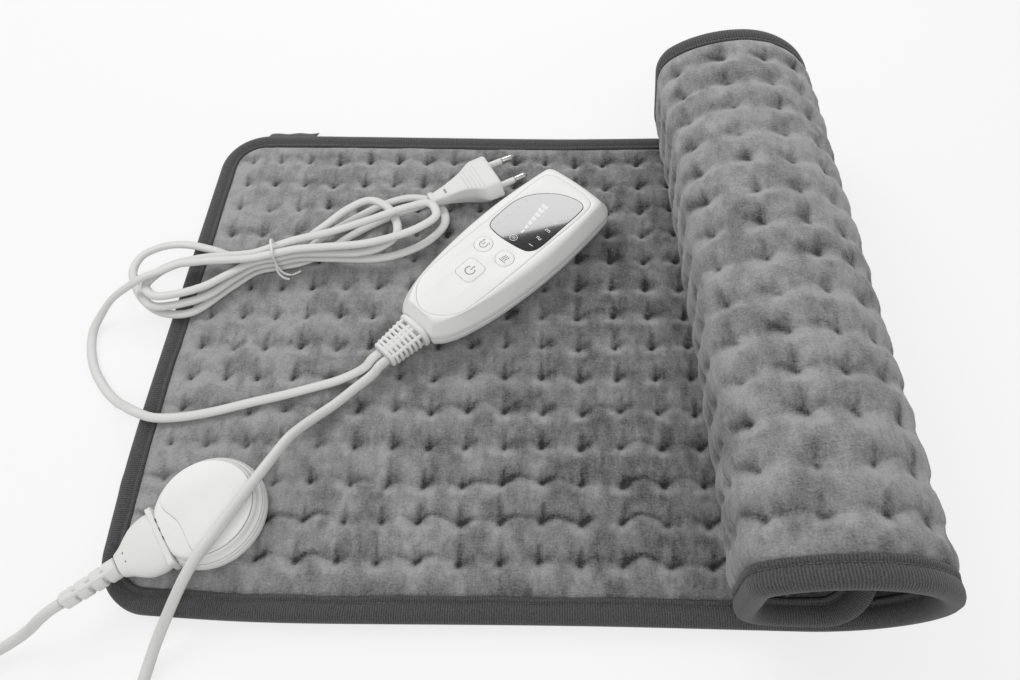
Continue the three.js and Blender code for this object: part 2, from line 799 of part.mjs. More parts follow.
const contactPieceLength = 3;
for (let i = -1; i <= 1; i += 1) {
  const end = boreEnd - gap;
  const start = end - contactPieceLength;
  const clip = lyingRod(contactRadius, start, end, i * contactPitch, contactZ, contactSides);
  addMesh(connector, `connector_contact_${i + 2}`, clip, brass);
}

// Ribbed strain relief: three segments with grooves cut between them
const reliefGroove = 1.6;
const reliefGrooveDepth = 1.8;
function connectorRelief() {
  const start = bodyEnd + gap;
  const end = start + reliefLength;
  const rings = [
    ovalRing(start, reliefRadius, reliefRadius, reliefZ, reliefSides),
    ovalRing(end, reliefEndRadius, reliefEndRadius, reliefZ, reliefSides),
  ];
  const bottom = reliefZ - reliefRadius - cut;
  const top = reliefZ + reliefRadius + cut;
  const cuts = [];
  for (let i = 1; i < 4; i += 1) {
    const x = start + (reliefLength * i) / 4;
    for (const side of [-1, 1]) {
      const near = side * (reliefEndRadius - reliefGrooveDepth / 2);
      const far = side * (reliefRadius + cut);
      cuts.push(block(x, x + reliefGroove, Math.min(near, far), Math.max(near, far), bottom, top));
    }
  }
  return cutAway(loft(rings), cuts);
}
addMesh(connector, "connector_relief", connectorRelief(), softWhite);

// Controller, in its own frame with +X from the cords' end to the display's end
const handset = new THREE.Group();
handset.position.set(handsetX, handsetY, padThickness + gap);
handset.rotation.z = handsetAngle;
root.add(handset);

const shellWall = 2;
const shellSplit = 9;
const splitGap = 0.4;
const farCornerRadius = 9;
const farBulge = 0.8;
const farWidthShare = 0.905;
const sideLengthShares = [0, 0.03, 0.09, 0.19, 0.36, 0.62];
const sideWidthShares = [0.42, 0.55, 0.69, 0.82, 0.94, 1];
const roundingInsetShares = [0.18, 0.1, 0.035, 0];
const roundingHeightShares = [0, 0.08, 0.22, 0.42];

function handsetOutline() {
  const half = handsetWidth / 2;
  const near = sideLengthShares.map((share, i) => [share * handsetLength, -sideWidthShares[i] * half]);
  const corner = [];
  const steps = 4;
  for (let i = 0; i <= steps; i += 1) {
    const angle = -Math.PI / 2 + (Math.PI / 2) * (i / steps);
    corner.push([handsetLength - farBulge - farCornerRadius * (1 - Math.cos(angle)),
      -farWidthShare * half + farCornerRadius + farCornerRadius * Math.sin(angle)]);
  }
  const lower = [...near, ...corner];
  const upper = lower.map(([x, y]) => [x, -y]).reverse();
  return [...lower, [handsetLength, 0], ...upper];
}
const bodyOutline = handsetOutline();

function roundedBody(outline, height, shrink) {
  const half = handsetWidth / 2;
  const lower = roundingInsetShares.map((share, i) => ({
    outline: inset(outline, shrink + share * half),
    rise: roundingHeightShares[i] * (height - shrink),
  }));
  const upper = [...lower].reverse();
  return loft([
    ...lower.map((ring) => levelRing(ring.outline, shrink + ring.rise)),
    ...upper.map((ring) => levelRing(ring.outline, height - shrink - ring.rise)),
  ]);
}

const farLimit = 2 * handsetLength;
const bodySolid = roundedBody(bodyOutline, handsetHeight, 0);
const bodyHollow = roundedBody(bodyOutline, handsetHeight, shellWall);

// Face panel in its recess, the display window and the three buttons
const panelThickness = 1.4;
const recessFloor = handsetHeight - panelThickness - gap;
const floorThickness = 2;
const floorBottom = recessFloor - floorThickness;
const windowStartShare = 0.52;
const windowEndShare = 0.8904;
const windowStart = windowStartShare * handsetLength;
const windowEnd = windowEndShare * handsetLength;
const windowWidthShare = 0.6;
const windowHalfWidth = (windowWidthShare * handsetWidth) / 2;
const windowCornerRadius = 11;
const windowLedge = 2.4;
const powerPlaceShare = 0.309;
const powerX = powerPlaceShare * handsetLength;
const powerSize = 13;
const powerCornerRadius = 2.6;
const roundPlaceShare = 0.444;
const roundX = roundPlaceShare * handsetLength;
const roundWidthShare = 0.2772;
const roundY = (roundWidthShare * handsetWidth) / 2;
const roundRadius = 5.4;
const buttonGap = 0.35;
const buttonProud = 0.5;
const buttonTravel = 0.7;
const buttonFlange = 1.2;
const flangeHeight = 0.8;

const buttons = [
  { name: "power", x: powerX, y: 0, outline: (grow) => powerOutline(grow) },
  { name: "timer", x: roundX, y: roundY, outline: (grow) => roundOutline(grow, roundY) },
  { name: "heat", x: roundX, y: -roundY, outline: (grow) => roundOutline(grow, -roundY) },
];

function roundOutline(grow, y) {
  return circleOutline(roundRadius + grow, buttonSides).map(([px, py]) => [px + roundX, py + y]);
}

function powerOutline(grow) {
  const half = powerSize / 2 + grow;
  return roundedRectangle(powerX - half, powerX + half, -half, half, powerCornerRadius + grow, 3);
}

function windowOutline(grow) {
  const half = windowHalfWidth + grow;
  return roundedRectangle(windowStart - grow, windowEnd + grow, -half, half, windowCornerRadius + grow, 5);
}

// Outline of the panel's recess: round towards the cords, nearly straight along its sides
const panelLengthShares = [0.048, 0.058, 0.078, 0.108, 0.147, 0.2, 0.29, 0.57, 0.875, 0.913, 0.931];
const panelWidthShares = [0.13, 0.232, 0.355, 0.48, 0.572, 0.615, 0.635, 0.652, 0.645, 0.56, 0.42];
const panelStartShare = 0.0434;
const panelEndShare = 0.936;

function recessOutline() {
  const lower = panelLengthShares.map((share, i) => [
    share * handsetLength,
    (-panelWidthShares[i] * handsetWidth) / 2,
  ]);
  const upper = lower.map(([x, y]) => [x, -y]).reverse();
  return [[panelStartShare * handsetLength, 0], ...lower, [panelEndShare * handsetLength, 0], ...upper];
}
const panelOutline = inset(recessOutline(), gap);
const buttonHoles = (z0, z1) => buttons.map((button) => plate(button.outline(buttonGap), z0, z1));

// Screws hold the shells together through bosses
const screwNearShare = 0.1905;
const screwFarShare = 0.857;
const screwNearWidthShare = 0.49;
const screwFarWidthShare = 0.65;
const screwNearX = screwNearShare * handsetLength;
const screwNearY = (screwNearWidthShare * handsetWidth) / 2;
const screwFarX = screwFarShare * handsetLength;
const screwFarY = (screwFarWidthShare * handsetWidth) / 2;
const screwPlaces = [
  [screwNearX, screwNearY],
  [screwNearX, -screwNearY],
  [screwFarX, screwFarY],
  [screwFarX, -screwFarY],
];
const screwRadius = 1.2;
const screwHeadRadius = 2.3;
const screwHeadHeight = 1.6;
const bossRadius = 3;
const boardBottom = 7;
const boardTop = boardBottom + boardThickness;
const screwTop = floorBottom - shellWall;

// The cords leave through an opening in the near end
const neckHalfWidth = 7;
const neckHalfHeight = 4.4;
const neckZ = 9;
const neckFlangeGrow = 1.2;
const neckFlangeThickness = 2;
const neckFlangeStart = 4.4;
const neckFlangeHalfHeight = 3.2;
const collarThickness = 3;
const collarHalfWidth = 10.4;
const collarHalfHeight = 6.8;
const collarEdgeShares = [0.94, 1, 1, 0.94];
const collarPlaceShares = [1, 0.7, 0.3, 0];
const bootLength = 20.5;
const bootHalfWidth = 9;
const bootHalfHeight = 5.8;
const bootEndHalfWidth = 7.2;
const bootEndHalfHeight = 4.6;

function neckOpening() {
  const half = neckHalfWidth + gap;
  const end = neckFlangeStart + neckFlangeThickness;
  return block(-cut, end, -half, half, neckZ - neckHalfHeight - gap, neckZ + neckHalfHeight + gap);
}

function levels(z0, z1) {
  return block(-farLimit, farLimit, -farLimit, farLimit, z0, z1);
}

function screwRods(radius, z0, z1, sides) {
  return screwPlaces.map(([x, y]) => uprightRod(radius, x, y, z0, z1, sides));
}

function lowerShell() {
  const half = keepWithin(bodySolid, levels(-cut, shellSplit));
  const emptied = cutAway(half, [keepWithin(bodyHollow, levels(0, handsetHeight))]);
  const bosses = screwRods(bossRadius, shellWall / 2, boardBottom - gap, bossSides);
  const bores = [
    ...screwRods(screwRadius + gap, -cut, boardBottom + cut, boreSides),
    ...screwRods(screwHeadRadius + gap, -cut, shellWall, boreSides),
  ];
  return cutAway(joinAll([emptied, ...bosses]), [...bores, neckOpening()]);
}
addMesh(handset, "handset_lower_shell", lowerShell(), whitePlastic);

function upperShell() {
  const half = keepWithin(bodySolid, levels(shellSplit + splitGap, handsetHeight));
  const emptied = cutAway(half, [keepWithin(bodyHollow, levels(0, floorBottom))]);
  const bosses = screwRods(bossRadius, boardTop + gap, floorBottom + floorThickness / 2, bossSides);
  const recess = plate(recessOutline(), recessFloor, handsetHeight + cut);
  const bores = screwRods(screwRadius + gap, 0, screwTop + gap, boreSides);
  const windowHole = plate(windowOutline(-windowLedge), 0, handsetHeight);
  return cutAway(joinAll([emptied, ...bosses]),
    [recess, windowHole, ...buttonHoles(0, handsetHeight), ...bores, neckOpening()]);
}
addMesh(handset, "handset_upper_shell", upperShell(), whitePlastic);

addMesh(handset, "face_panel", cutAway(plate(panelOutline, recessFloor + gap, handsetHeight),
  [plate(windowOutline(gap), 0, handsetHeight + cut), ...buttonHoles(0, handsetHeight + cut)]), whitePlastic);

addMesh(handset, "display_window", plate(windowOutline(0), recessFloor + gap, handsetHeight), blackGloss);

// Circuit board and what it carries
const boardInset = 5;
const boardNearShare = 0.119;
const boardFarShare = 0.937;
const boardNear = boardNearShare * handsetLength;
const boardFar = boardFarShare * handsetLength;
const boardOutline = inset(bodyOutline, boardInset);
const boardHoles = screwRods(screwRadius + gap, 0, handsetHeight, boreSides);
addMesh(handset, "circuit_board", cutAway(keepWithin(plate(boardOutline, boardBottom, boardTop),
  block(boardNear, boardFar, -farLimit, farLimit, 0, handsetHeight)), boardHoles), board);

const displayHeight = 5.5;
const displayInset = 3;
const displayHalfWidth = windowHalfWidth - displayInset;
const onBoard = boardTop + gap;
addMesh(handset, "display_module", block(windowStart + displayInset, windowEnd - displayInset,
  -displayHalfWidth, displayHalfWidth, onBoard, onBoard + displayHeight), darkPlastic);

const switchHalf = 3;
const switchHeight = 3.4;
const plungerRadius = 1.7;
const switchTop = floorBottom - gap - flangeHeight - buttonTravel - 2 * gap;
for (const button of buttons) {
  const { x, y } = button;
  const body = block(x - switchHalf, x + switchHalf, y - switchHalf, y + switchHalf,
    onBoard, onBoard + switchHeight);
  const plunger = uprightRod(plungerRadius, x, y, boardTop + switchHeight, switchTop, pinSides);
  addMesh(handset, `${button.name}_switch`, joinAll([body, plunger]), darkPlastic);
  const flangeLevel = floorBottom - gap;
  const cap = plate(button.outline(0), flangeLevel - flangeHeight / 2, handsetHeight + buttonProud);
  const flange = plate(button.outline(buttonFlange), flangeLevel - flangeHeight, flangeLevel);
  addMesh(handset, `${button.name}_button`, joinAll([cap, flange]), softWhite);
}

const relayPlaceShare = 0.429;
const relayX = relayPlaceShare * handsetLength;
const relayLength = 15;
const relayWidth = 10;
const relayHeight = 4;
addMesh(handset, "relay", block(relayX, relayX + relayLength, -relayWidth / 2, relayWidth / 2,
  boardBottom - gap - relayHeight, boardBottom - gap), darkPlastic);
const capacitorPlaceShare = 0.698;
const capacitorX = capacitorPlaceShare * handsetLength;
const capacitorRadius = 2;
const capacitorLength = 12;
addMesh(handset, "capacitor", lyingRod(capacitorRadius, capacitorX, capacitorX + capacitorLength, 0,
  boardBottom - gap - capacitorRadius, boreSides), darkPlastic);
const glassFusePlaceShare = 0.238;
const glassFuseX = glassFusePlaceShare * handsetLength;
const glassFuseRadius = 1.8;
const glassFuseLength = 14;
addMesh(handset, "glass_fuse", lyingRod(glassFuseRadius, glassFuseX, glassFuseX + glassFuseLength, 0,
  boardBottom - gap - glassFuseRadius, pinSides), nickel);

screwPlaces.forEach(([x, y], i) => {
  const headTop = shellWall - gap;
  const head = uprightRod(screwHeadRadius, x, y, headTop - screwHeadHeight, headTop, boreSides);
  const shank = uprightRod(screwRadius, x, y, headTop - gap, screwTop, contactSides);
  addMesh(handset, `screw_${i + 1}`, joinAll([head, shank]), nickel);
});

// Cord clamp: a bar across both cores behind the boot's inner flange
const clampStart = 8;
const clampLength = 5;
const clampHalfWidth = 6;
const clampThickness = 3.5;
const clampBottom = shellWall + gap;
addMesh(handset, "cord_clamp", block(clampStart, clampStart + clampLength, -clampHalfWidth, clampHalfWidth,
  clampBottom, clampBottom + clampThickness), darkPlastic);

// Boot: inner flange, neck, collar, and the tapered ribbed relief that both cords leave
const bootSlots = 5;
const slotWidth = 1.3;
const slotDepth = 3.2;
const slotStartShare = 0.125;
const slotPitchShare = 0.179;
function cordBoot() {
  const flangeHalf = neckHalfWidth + neckFlangeGrow;
  const innerFlange = block(neckFlangeStart, neckFlangeStart + neckFlangeThickness, -flangeHalf, flangeHalf,
    neckZ - neckFlangeHalfHeight, neckZ + neckFlangeHalfHeight);
  const neck = block(-collarThickness, neckFlangeStart + gap, -neckHalfWidth, neckHalfWidth,
    neckZ - neckHalfHeight, neckZ + neckHalfHeight);
  const collar = loft(collarPlaceShares.map((share, i) => {
    const edge = collarEdgeShares[i];
    const x = -gap - collarThickness * share;
    return ovalRing(x, collarHalfWidth * edge, collarHalfHeight * edge, neckZ, reliefSides);
  }));
  const start = -gap - collarThickness / 2;
  const end = -gap - collarThickness - bootLength;
  const relief = loft([
    ovalRing(end, bootEndHalfWidth, bootEndHalfHeight, neckZ, reliefSides),
    ovalRing(start, bootHalfWidth, bootHalfHeight, neckZ, reliefSides),
  ]);
  const bottom = neckZ - bootHalfHeight - cut;
  const top = neckZ + bootHalfHeight + cut;
  const slots = [];
  for (let i = 0; i < bootSlots; i += 1) {
    const x = end + bootLength * (slotStartShare + slotPitchShare * i);
    const half = bootEndHalfWidth + (bootHalfWidth - bootEndHalfWidth) * ((x - end) / bootLength);
    for (const side of [-1, 1]) {
      const near = side * (half - slotDepth);
      const far = side * (half + cut);
      slots.push(block(x, x + slotWidth, Math.min(near, far), Math.max(near, far), bottom, top));
    }
  }
  return cutAway(joinAll([innerFlange, neck, collar, relief]), slots);
}
addMesh(handset, "cord_boot", cordBoot(), softWhite);

// Plug, in its own frame with +X towards its pins
const plug = new THREE.Group();
plug.position.set(plugX, plugY, padThickness + gap + plugThickness / 2);
plug.rotation.z = plugAngle;
cords.add(plug);

// Sections of the plug: a bead, a slim neck, flat flaring sides and a front whose sides come to a ridge
const plugLengthShares = [0, 0.02, 0.07, 0.085, 0.12, 0.225, 0.41, 0.53, 0.635, 0.705, 0.775, 1];
const plugRidgeShares = [0.29, 0.35, 0.35, 0.24, 0.26, 0.3, 0.37, 0.47, 0.63, 0.83, 0.98, 1];
const plugFlatShares = [0.2, 0.25, 0.25, 0.2, 0.215, 0.26, 0.33, 0.42, 0.545, 0.64, 0.69, 0.7];
const plugHeightShares = [0.42, 0.48, 0.48, 0.43, 0.46, 0.54, 0.76, 0.9, 0.99, 1, 1, 1];
const gripCount = 5;
const gripPitch = 2.3;
const gripWidth = 0.9;
const gripDepth = 0.5;
const gripStart = 23;
const gripHalfShare = 0.24;
const pinLength = 18.5;
const pinRadius = 2;
const pinHalfSpacing = 9.3;
const pinToe = THREE.MathUtils.degToRad(1.7);
const sleeveLength = 10;
const sleeveRadius = 1.9;
const tipShare = 0.6;
const coreRadius = 1.2;
const pinSocketDepth = 6;

function plugBody() {
  const rings = plugLengthShares.map((share, i) => {
    const x = share * plugLength;
    const ridge = (plugRidgeShares[i] * plugWidth) / 2;
    const flat = (plugFlatShares[i] * plugWidth) / 2;
    const high = (plugHeightShares[i] * plugThickness) / 2;
    const section = [[ridge, 0], [flat, high], [-flat, high], [-ridge, 0], [-flat, -high], [flat, -high]];
    return section.map(([y, z]) => new THREE.Vector3(x, y, z));
  });
  const gripHalf = gripHalfShare * plugWidth;
  const cuts = [];
  for (let i = 0; i < gripCount; i += 1) {
    const x = gripStart + i * gripPitch;
    for (const side of [-1, 1]) {
      const near = side * (plugThickness / 2 - gripDepth);
      const far = side * (plugThickness / 2 + cut);
      cuts.push(block(x, x + gripWidth, -gripHalf, gripHalf, Math.min(near, far), Math.max(near, far)));
    }
  }
  for (const side of [-1, 1]) {
    const y = side * pinHalfSpacing;
    cuts.push(lyingRod(coreRadius + gap, plugLength - pinSocketDepth, plugLength + cut, y, 0, pinSides));
  }
  return cutAway(loft(rings), cuts);
}
addMesh(plug, "plug_body", plugBody(), whitePlastic);

["left", "right"].forEach((sideName, i) => {
  const side = i === 0 ? 1 : -1;
  const arm = new THREE.Group();
  arm.position.set(plugLength, side * pinHalfSpacing, 0);
  arm.rotation.z = -side * pinToe;
  plug.add(arm);
  const pinProfile = [
    [0, -pinSocketDepth + gap],
    [coreRadius, -pinSocketDepth + gap],
    [coreRadius, sleeveLength + gap],
    [pinRadius, sleeveLength + gap],
    [pinRadius, pinLength - pinRadius * tipShare],
    [pinRadius * tipShare, pinLength],
    [0, pinLength],
  ];
  const pin = new THREE.LatheGeometry(pinProfile.map(([r, x]) => new THREE.Vector2(r, x)), pinSides);
  pin.rotateZ(-Math.PI / 2);
  addMesh(arm, `plug_pin_${sideName}`, pin, nickel);
  const sleeveProfile = [
    [coreRadius + gap, gap],
    [sleeveRadius, gap],
    [sleeveRadius, sleeveLength],
    [coreRadius + gap, sleeveLength],
    [coreRadius + gap, gap],
  ];
  const sleeve = new THREE.LatheGeometry(sleeveProfile.map(([r, x]) => new THREE.Vector2(r, x)), pinSides);
  sleeve.rotateZ(-Math.PI / 2);
  addMesh(arm, `plug_sleeve_${sideName}`, sleeve, softWhite);
});

// Places where cords meet pieces, in the pad's frame
root.updateMatrixWorld(true);
const placeIn = (group, x, y, z) => group.localToWorld(new THREE.Vector3(x, y, z));
const along = (group, x, y, z) => new THREE.Vector3(x, y, z).transformDirection(group.matrixWorld);
const bootEndX = -gap - collarThickness - bootLength;
const cordHalfSpacing = 3.2;
const mainsExit = placeIn(handset, bootEndX - gap, cordHalfSpacing, neckZ);
const leadExit = placeIn(handset, bootEndX - gap, -cordHalfSpacing, neckZ);
const outOfBoot = along(handset, -1, 0, 0);
const plugEntry = placeIn(plug, -gap, 0, 0);
const intoPlug = along(plug, 1, 0, 0);
const reliefExit = placeIn(connector, bodyEnd + gap + reliefLength + gap, 0, reliefZ);
const outOfRelief = along(connector, 1, 0, 0);

// Mains cord: hank of flat cord lying on the pad, drawn in at its waist
const cordTop = padThickness + gap;
const strandGap = 0.9;
const levelPitch = mainsThickness + strandGap;
const hankBase = cordTop + mainsThickness / 2;
const waistX = 58;
const waistY = 196.5;
const waistTilt = THREE.MathUtils.degToRad(14);
const columnHalf = mainsWidth / 2 + strandGap;
const climbRun = 13;
const droop = 4.5;
const droopRun = 44;

// The last loop sinks from its level to the pad at its far end, where it passes under the plug
const lastDropStart = 196;
const lastDropRun = 34;

// Plan points of each half loop, away from the waist, at the loop's own level: out by the front, back by the
// back
const rightLoops = [
  [[90, 198], [110, 200], [126, 204.6], [141, 211.6], [150.6, 221], [146, 230], [132, 227], [112, 218],
    [90, 209]],
  [[90, 196.6], [106, 196.6], [119, 200.4], [127.5, 209.6], [126, 221], [118.5, 232], [108, 236.5],
    [96, 230], [83, 216]],
  [[90, 196], [119.5, 196], [138, 203], [148.5, 213], [154, 225.4], [151.4, 236.4], [144, 243],
    [131, 245.6], [116, 241], [98, 229], [83, 214.6]],
];
const leftLoops = [
  [[30, 195], [13, 193], [0, 188.6], [-9, 182], [-13.5, 174.5], [-6, 167], [8, 168.4], [22, 173.6],
    [34, 182]],
  [[30, 196.4], [12, 196], [-4, 192], [-14, 185], [-18, 174], [-8, 163], [8, 164], [24, 170.6],
    [35, 181.4]],
  [[32, 199.4], [14, 206], [-4, 210], [-18, 209.6], [-30, 204], [-32.5, 194], [-27.5, 183], [-17, 170],
    [-2, 160.6], [14, 161], [33, 178.6]],
];
const hankLead = [[84, 203.6], [100, 217.6], [118, 229.4]];
const hankStartX = 16;
const hankStartY = 187.6;

function smooth(t) {
  const c = Math.min(Math.max(t, 0), 1);
  return c * c * (3 - 2 * c);
}

function hankPlaces() {
  const levelOf = (level) => hankBase + level * levelPitch;
  const places = [];
  const atWaist = (front, from, to, rightwards) => {
    const off = front ? -columnHalf : columnHalf;
    [-1, 0, 1].forEach((share) => {
      const run = share * climbRun * (rightwards ? 1 : -1);
      const x = waistX + run * Math.cos(waistTilt) - off * Math.sin(waistTilt);
      const y = waistY + run * Math.sin(waistTilt) + off * Math.cos(waistTilt);
      places.push(new THREE.Vector3(x, y, levelOf(from + ((to - from) * (share + 1)) / 2)));
    });
  };
  const top = rightLoops.length;
  places.push(new THREE.Vector3(hankStartX, hankStartY, levelOf(top)));
  places.push(new THREE.Vector3(hankStartX + mainsWidth, hankStartY + mainsWidth / 8, levelOf(top)));
  for (let i = 0; i < rightLoops.length; i += 1) {
    const level = top - i;
    atWaist(true, level, level, true);
    rightLoops[i].forEach(([x, y]) => {
      const sunk = i === rightLoops.length - 1 ? smooth((y - lastDropStart) / lastDropRun) : 0;
      places.push(new THREE.Vector3(x, y, levelOf(level - sunk)));
    });
    atWaist(false, i === rightLoops.length - 1 ? level - 1 : level, level - 1, false);
    leftLoops[i].forEach(([x, y]) => {
      const drop = droop * smooth(-x / droopRun);
      places.push(new THREE.Vector3(x, y, levelOf(level - 1) - drop));
    });
  }
  atWaist(true, 0, 0, true);
  hankLead.forEach(([x, y]) => places.push(new THREE.Vector3(x, y, hankBase)));
  places.push(plugEntry.clone().addScaledVector(intoPlug, -2 * mainsWidth));
  places.push(plugEntry.clone().addScaledVector(intoPlug, -mainsWidth));
  places.push(plugEntry);
  return places;
}

// Rings of a flat or round section along points, lying level across, with flat sides that face across
function cordRings(points, halfWidth, halfHeight) {
  const up = new THREE.Vector3(0, 0, 1);
  const cornerHalfWidth = halfWidth / Math.cos(Math.PI / loopSides);
  return points.map((p, i) => {
    const before = points[Math.max(i - 1, 0)];
    const after = points[Math.min(i + 1, points.length - 1)];
    const direction = after.clone().sub(before).normalize();
    const across = up.clone().cross(direction).normalize();
    const rise = direction.clone().cross(across);
    const ring = [];
    for (let q = 0; q < loopSides; q += 1) {
      const angle = (2 * Math.PI * (q + 0.5)) / loopSides;
      ring.push(p.clone().addScaledVector(across, Math.cos(angle) * cornerHalfWidth)
        .addScaledVector(rise, Math.sin(angle) * halfHeight));
    }
    return ring;
  });
}

// The least gap between stretches of one tube that aren't neighbours, measured on its points, with the width
// of an oval section counted at its height's scale
function leastSelfGap(points, halfWidth, halfHeight, apart) {
  let least = Infinity;
  const runs = [0];
  for (let i = 1; i < points.length; i += 1) {
    runs.push(runs[i - 1] + points[i].distanceTo(points[i - 1]));
  }
  for (let i = 0; i < points.length; i += 1) {
    for (let j = i + 1; j < points.length; j += 1) {
      if (runs[j] - runs[i] > apart) {
        const flat = Math.hypot(points[i].x - points[j].x, points[i].y - points[j].y);
        const rise = Math.abs(points[i].z - points[j].z);
        const free = Math.hypot((flat * halfHeight) / halfWidth, rise) - 2 * halfHeight;
        least = Math.min(least, free);
      }
    }
  }
  return least;
}

function resample(places, count, straight) {
  const curve = new THREE.CatmullRomCurve3(places, false, "centripetal");
  curve.arcLengthDivisions = 40 * places.length;
  const points = curve.getSpacedPoints(count);
  const first = straight[0];
  const last = straight[1];
  if (first) {
    points[1] = points[0].clone().addScaledVector(first, points[0].distanceTo(points[1]));
  }
  if (last) {
    const n = points.length;
    points[n - 2] = points[n - 1].clone().addScaledVector(last, -points[n - 1].distanceTo(points[n - 2]));
  }
  return { points, length: curve.getLength() };
}

const stepsPerLoop = 24;
const hankSteps = Math.round(stepsPerLoop * (rightLoops.length + 0.5));
const hank = resample(hankPlaces(), hankSteps, [null, intoPlug]);
const halfCordWidth = mainsWidth / 2;
const halfCordHeight = mainsThickness / 2;
const hankCurve = resample(hankPlaces(), 12 * hankSteps, [null, null]);
console.log(`hank length ${hank.length.toFixed(0)} mm, least self-gap ` +
  `${leastSelfGap(hankCurve.points, halfCordWidth, halfCordHeight, 8 * mainsWidth).toFixed(2)} mm`);
addMesh(cords, "mains_hank", loft(cordRings(hank.points, halfCordWidth, halfCordHeight)), softWhite);

// Wire tie over the waist, its ends tucked down beside the strands and one end left loose
const tieRadius = 0.8;
const tieHalf = columnHalf + halfCordWidth + 2 * gap + tieRadius;
const tieTop = hankBase + 3 * levelPitch + halfCordHeight + 2 * gap + tieRadius;
const tieMiddle = (cordTop + tieTop) / 2;
const tieTail = 12;
const tie = new THREE.Group();
tie.position.set(waistX, waistY, 0);
tie.rotation.z = waistTilt;
cords.add(tie);

function wireTie() {
  const places = [
    [-tieHalf - tieTail, cordTop + tieRadius],
    [-tieHalf - tieRadius, cordTop + 3 * tieRadius],
    [-tieHalf, tieMiddle],
    [-tieHalf + tieRadius, tieTop - tieRadius],
    [-tieHalf + 3 * tieRadius, tieTop],
    [tieHalf - 3 * tieRadius, tieTop],
    [tieHalf - tieRadius, tieTop - tieRadius],
    [tieHalf, tieMiddle],
    [tieHalf, cordTop + tieRadius],
  ].map(([y, z]) => new THREE.Vector3(0, y, z));
  const across = new THREE.Vector3(1, 0, 0);
  return loft(places.map((p, i) => {
    const before = places[Math.max(i - 1, 0)];
    const after = places[Math.min(i + 1, places.length - 1)];
    const rise = after.clone().sub(before).cross(across).normalize();
    const ring = [];
    for (let q = 0; q < loopSides; q += 1) {
      const angle = (2 * Math.PI * q) / loopSides;
      ring.push(p.clone().addScaledVector(across, Math.cos(angle) * tieRadius)
        .addScaledVector(rise, Math.sin(angle) * tieRadius));
    }
    return ring;
  }));
}
addMesh(tie, "hank_tie", wireTie(), softWhite);

// Free stretches of cord, each an extruded section along its route
function cordSection(halfWidth, halfHeight) {
  const points = [];
  for (let i = 0; i < stretchSides; i += 1) {
    const angle = (2 * Math.PI * (i + 0.5)) / stretchSides;
    points.push(new THREE.Vector2(Math.cos(angle) * halfHeight, Math.sin(angle) * halfWidth));
  }
  return new THREE.Shape(points);
}

function cordStretch(places, halfWidth, halfHeight, stepLength) {
  const route = new THREE.CatmullRomCurve3(places, false, "centripetal");
  const length = route.getLength();
  const steps = Math.max(Math.round(length / stepLength), 4);
  const section = cordSection(halfWidth, halfHeight);
  const geometry = new THREE.ExtrudeGeometry(section, { steps, bevelEnabled: false, extrudePath: route });
  return { geometry, length };
}

const toPoints = (places) => places.map(([x, y, z]) => new THREE.Vector3(x, y, z));
const stretchZ = hankBase;
const tableZ = mainsThickness / 2 + gap;
const bootDrop = 2;
const reliefDrop = 1.4;
const stretchStep = 2.4 * mainsWidth;
const hankStart = hank.points[0];
const intoHank = hank.points[1].clone().sub(hank.points[0]).normalize();
const mainsRoute = [
  mainsExit,
  mainsExit.clone().addScaledVector(outOfBoot, mainsWidth),
  mainsExit.clone().addScaledVector(outOfBoot, 2 * mainsWidth).setZ(mainsExit.z - bootDrop),
  ...toPoints([[107.8, 118.2, 13.4], [91.8, 113.3, stretchZ], [76, 108.5, stretchZ], [60.3, 104.3, stretchZ],
    [44.8, 99.8, stretchZ], [32.7, 97, stretchZ], [20.8, 95.4, stretchZ], [10, 95.6, stretchZ],
    [0, 98.8, stretchZ], [-8, 103, 9.6], [-16, 107.6, 5.6], [-27, 116.4, 2.6], [-38.6, 130.2, tableZ],
    [-45.6, 145.4, tableZ], [-47, 156, 2.9], [-43.4, 164.6, 6], [-35.6, 169.4, 13], [-25, 172.6, 19.6],
    [-14.6, 176.6, 23.8], [-4.6, 180.8, 24.6]]),
  hankStart.clone().addScaledVector(intoHank, -2 * mainsWidth),
  hankStart.clone().addScaledVector(intoHank, -mainsWidth),
  hankStart.clone().addScaledVector(intoHank, -gap),
];
const mainsStretch = cordStretch(mainsRoute, halfCordWidth, halfCordHeight, stretchStep);
addMesh(cords, "mains_cord", mainsStretch.geometry, softWhite);
console.log(`mains cord ${mainsStretch.length.toFixed(0)} mm before the hank`);

// Lead from the controller over the socket and the pad's front edge to its coil, and on to the connector
const leadRadius = leadDiameter / 2;
const leadOnSocket = padThickness + gap + socketHeight + gap + leadRadius;
const leadOnTable = leadRadius + gap;
const coilX = -8;
const coilY = -70;
const coilRadius = 28.5;
const coilTurns = 1.5;
const coilGapWanted = 0.6;
const coilPitch = leadDiameter + coilGapWanted;

function coilPoints() {
  const steps = Math.round(stepsPerLoop * coilTurns);
  const points = [];
  for (let i = 0; i <= steps; i += 1) {
    const angle = -(2 * Math.PI * i) / stepsPerLoop;
    const rise = (coilPitch * i) / stepsPerLoop;
    const x = coilX + coilRadius * Math.cos(angle);
    const y = coilY + coilRadius * Math.sin(angle);
    points.push(new THREE.Vector3(x, y, leadOnTable + rise));
  }
  points.unshift(points[0].clone().add(new THREE.Vector3(0, leadDiameter, 0)));
  const last = points[points.length - 1];
  points.push(last.clone().add(new THREE.Vector3(0, leadDiameter, 0)));
  return points;
}
const coil = coilPoints();
const coilGap = leastSelfGap(coil, leadRadius, leadRadius, 8 * leadDiameter);
const coilLength = coil.slice(1).reduce((sum, p, i) => sum + p.distanceTo(coil[i]), 0);
console.log(`lead coil length ${coilLength.toFixed(0)} mm, least self-gap ${coilGap.toFixed(2)} mm`);
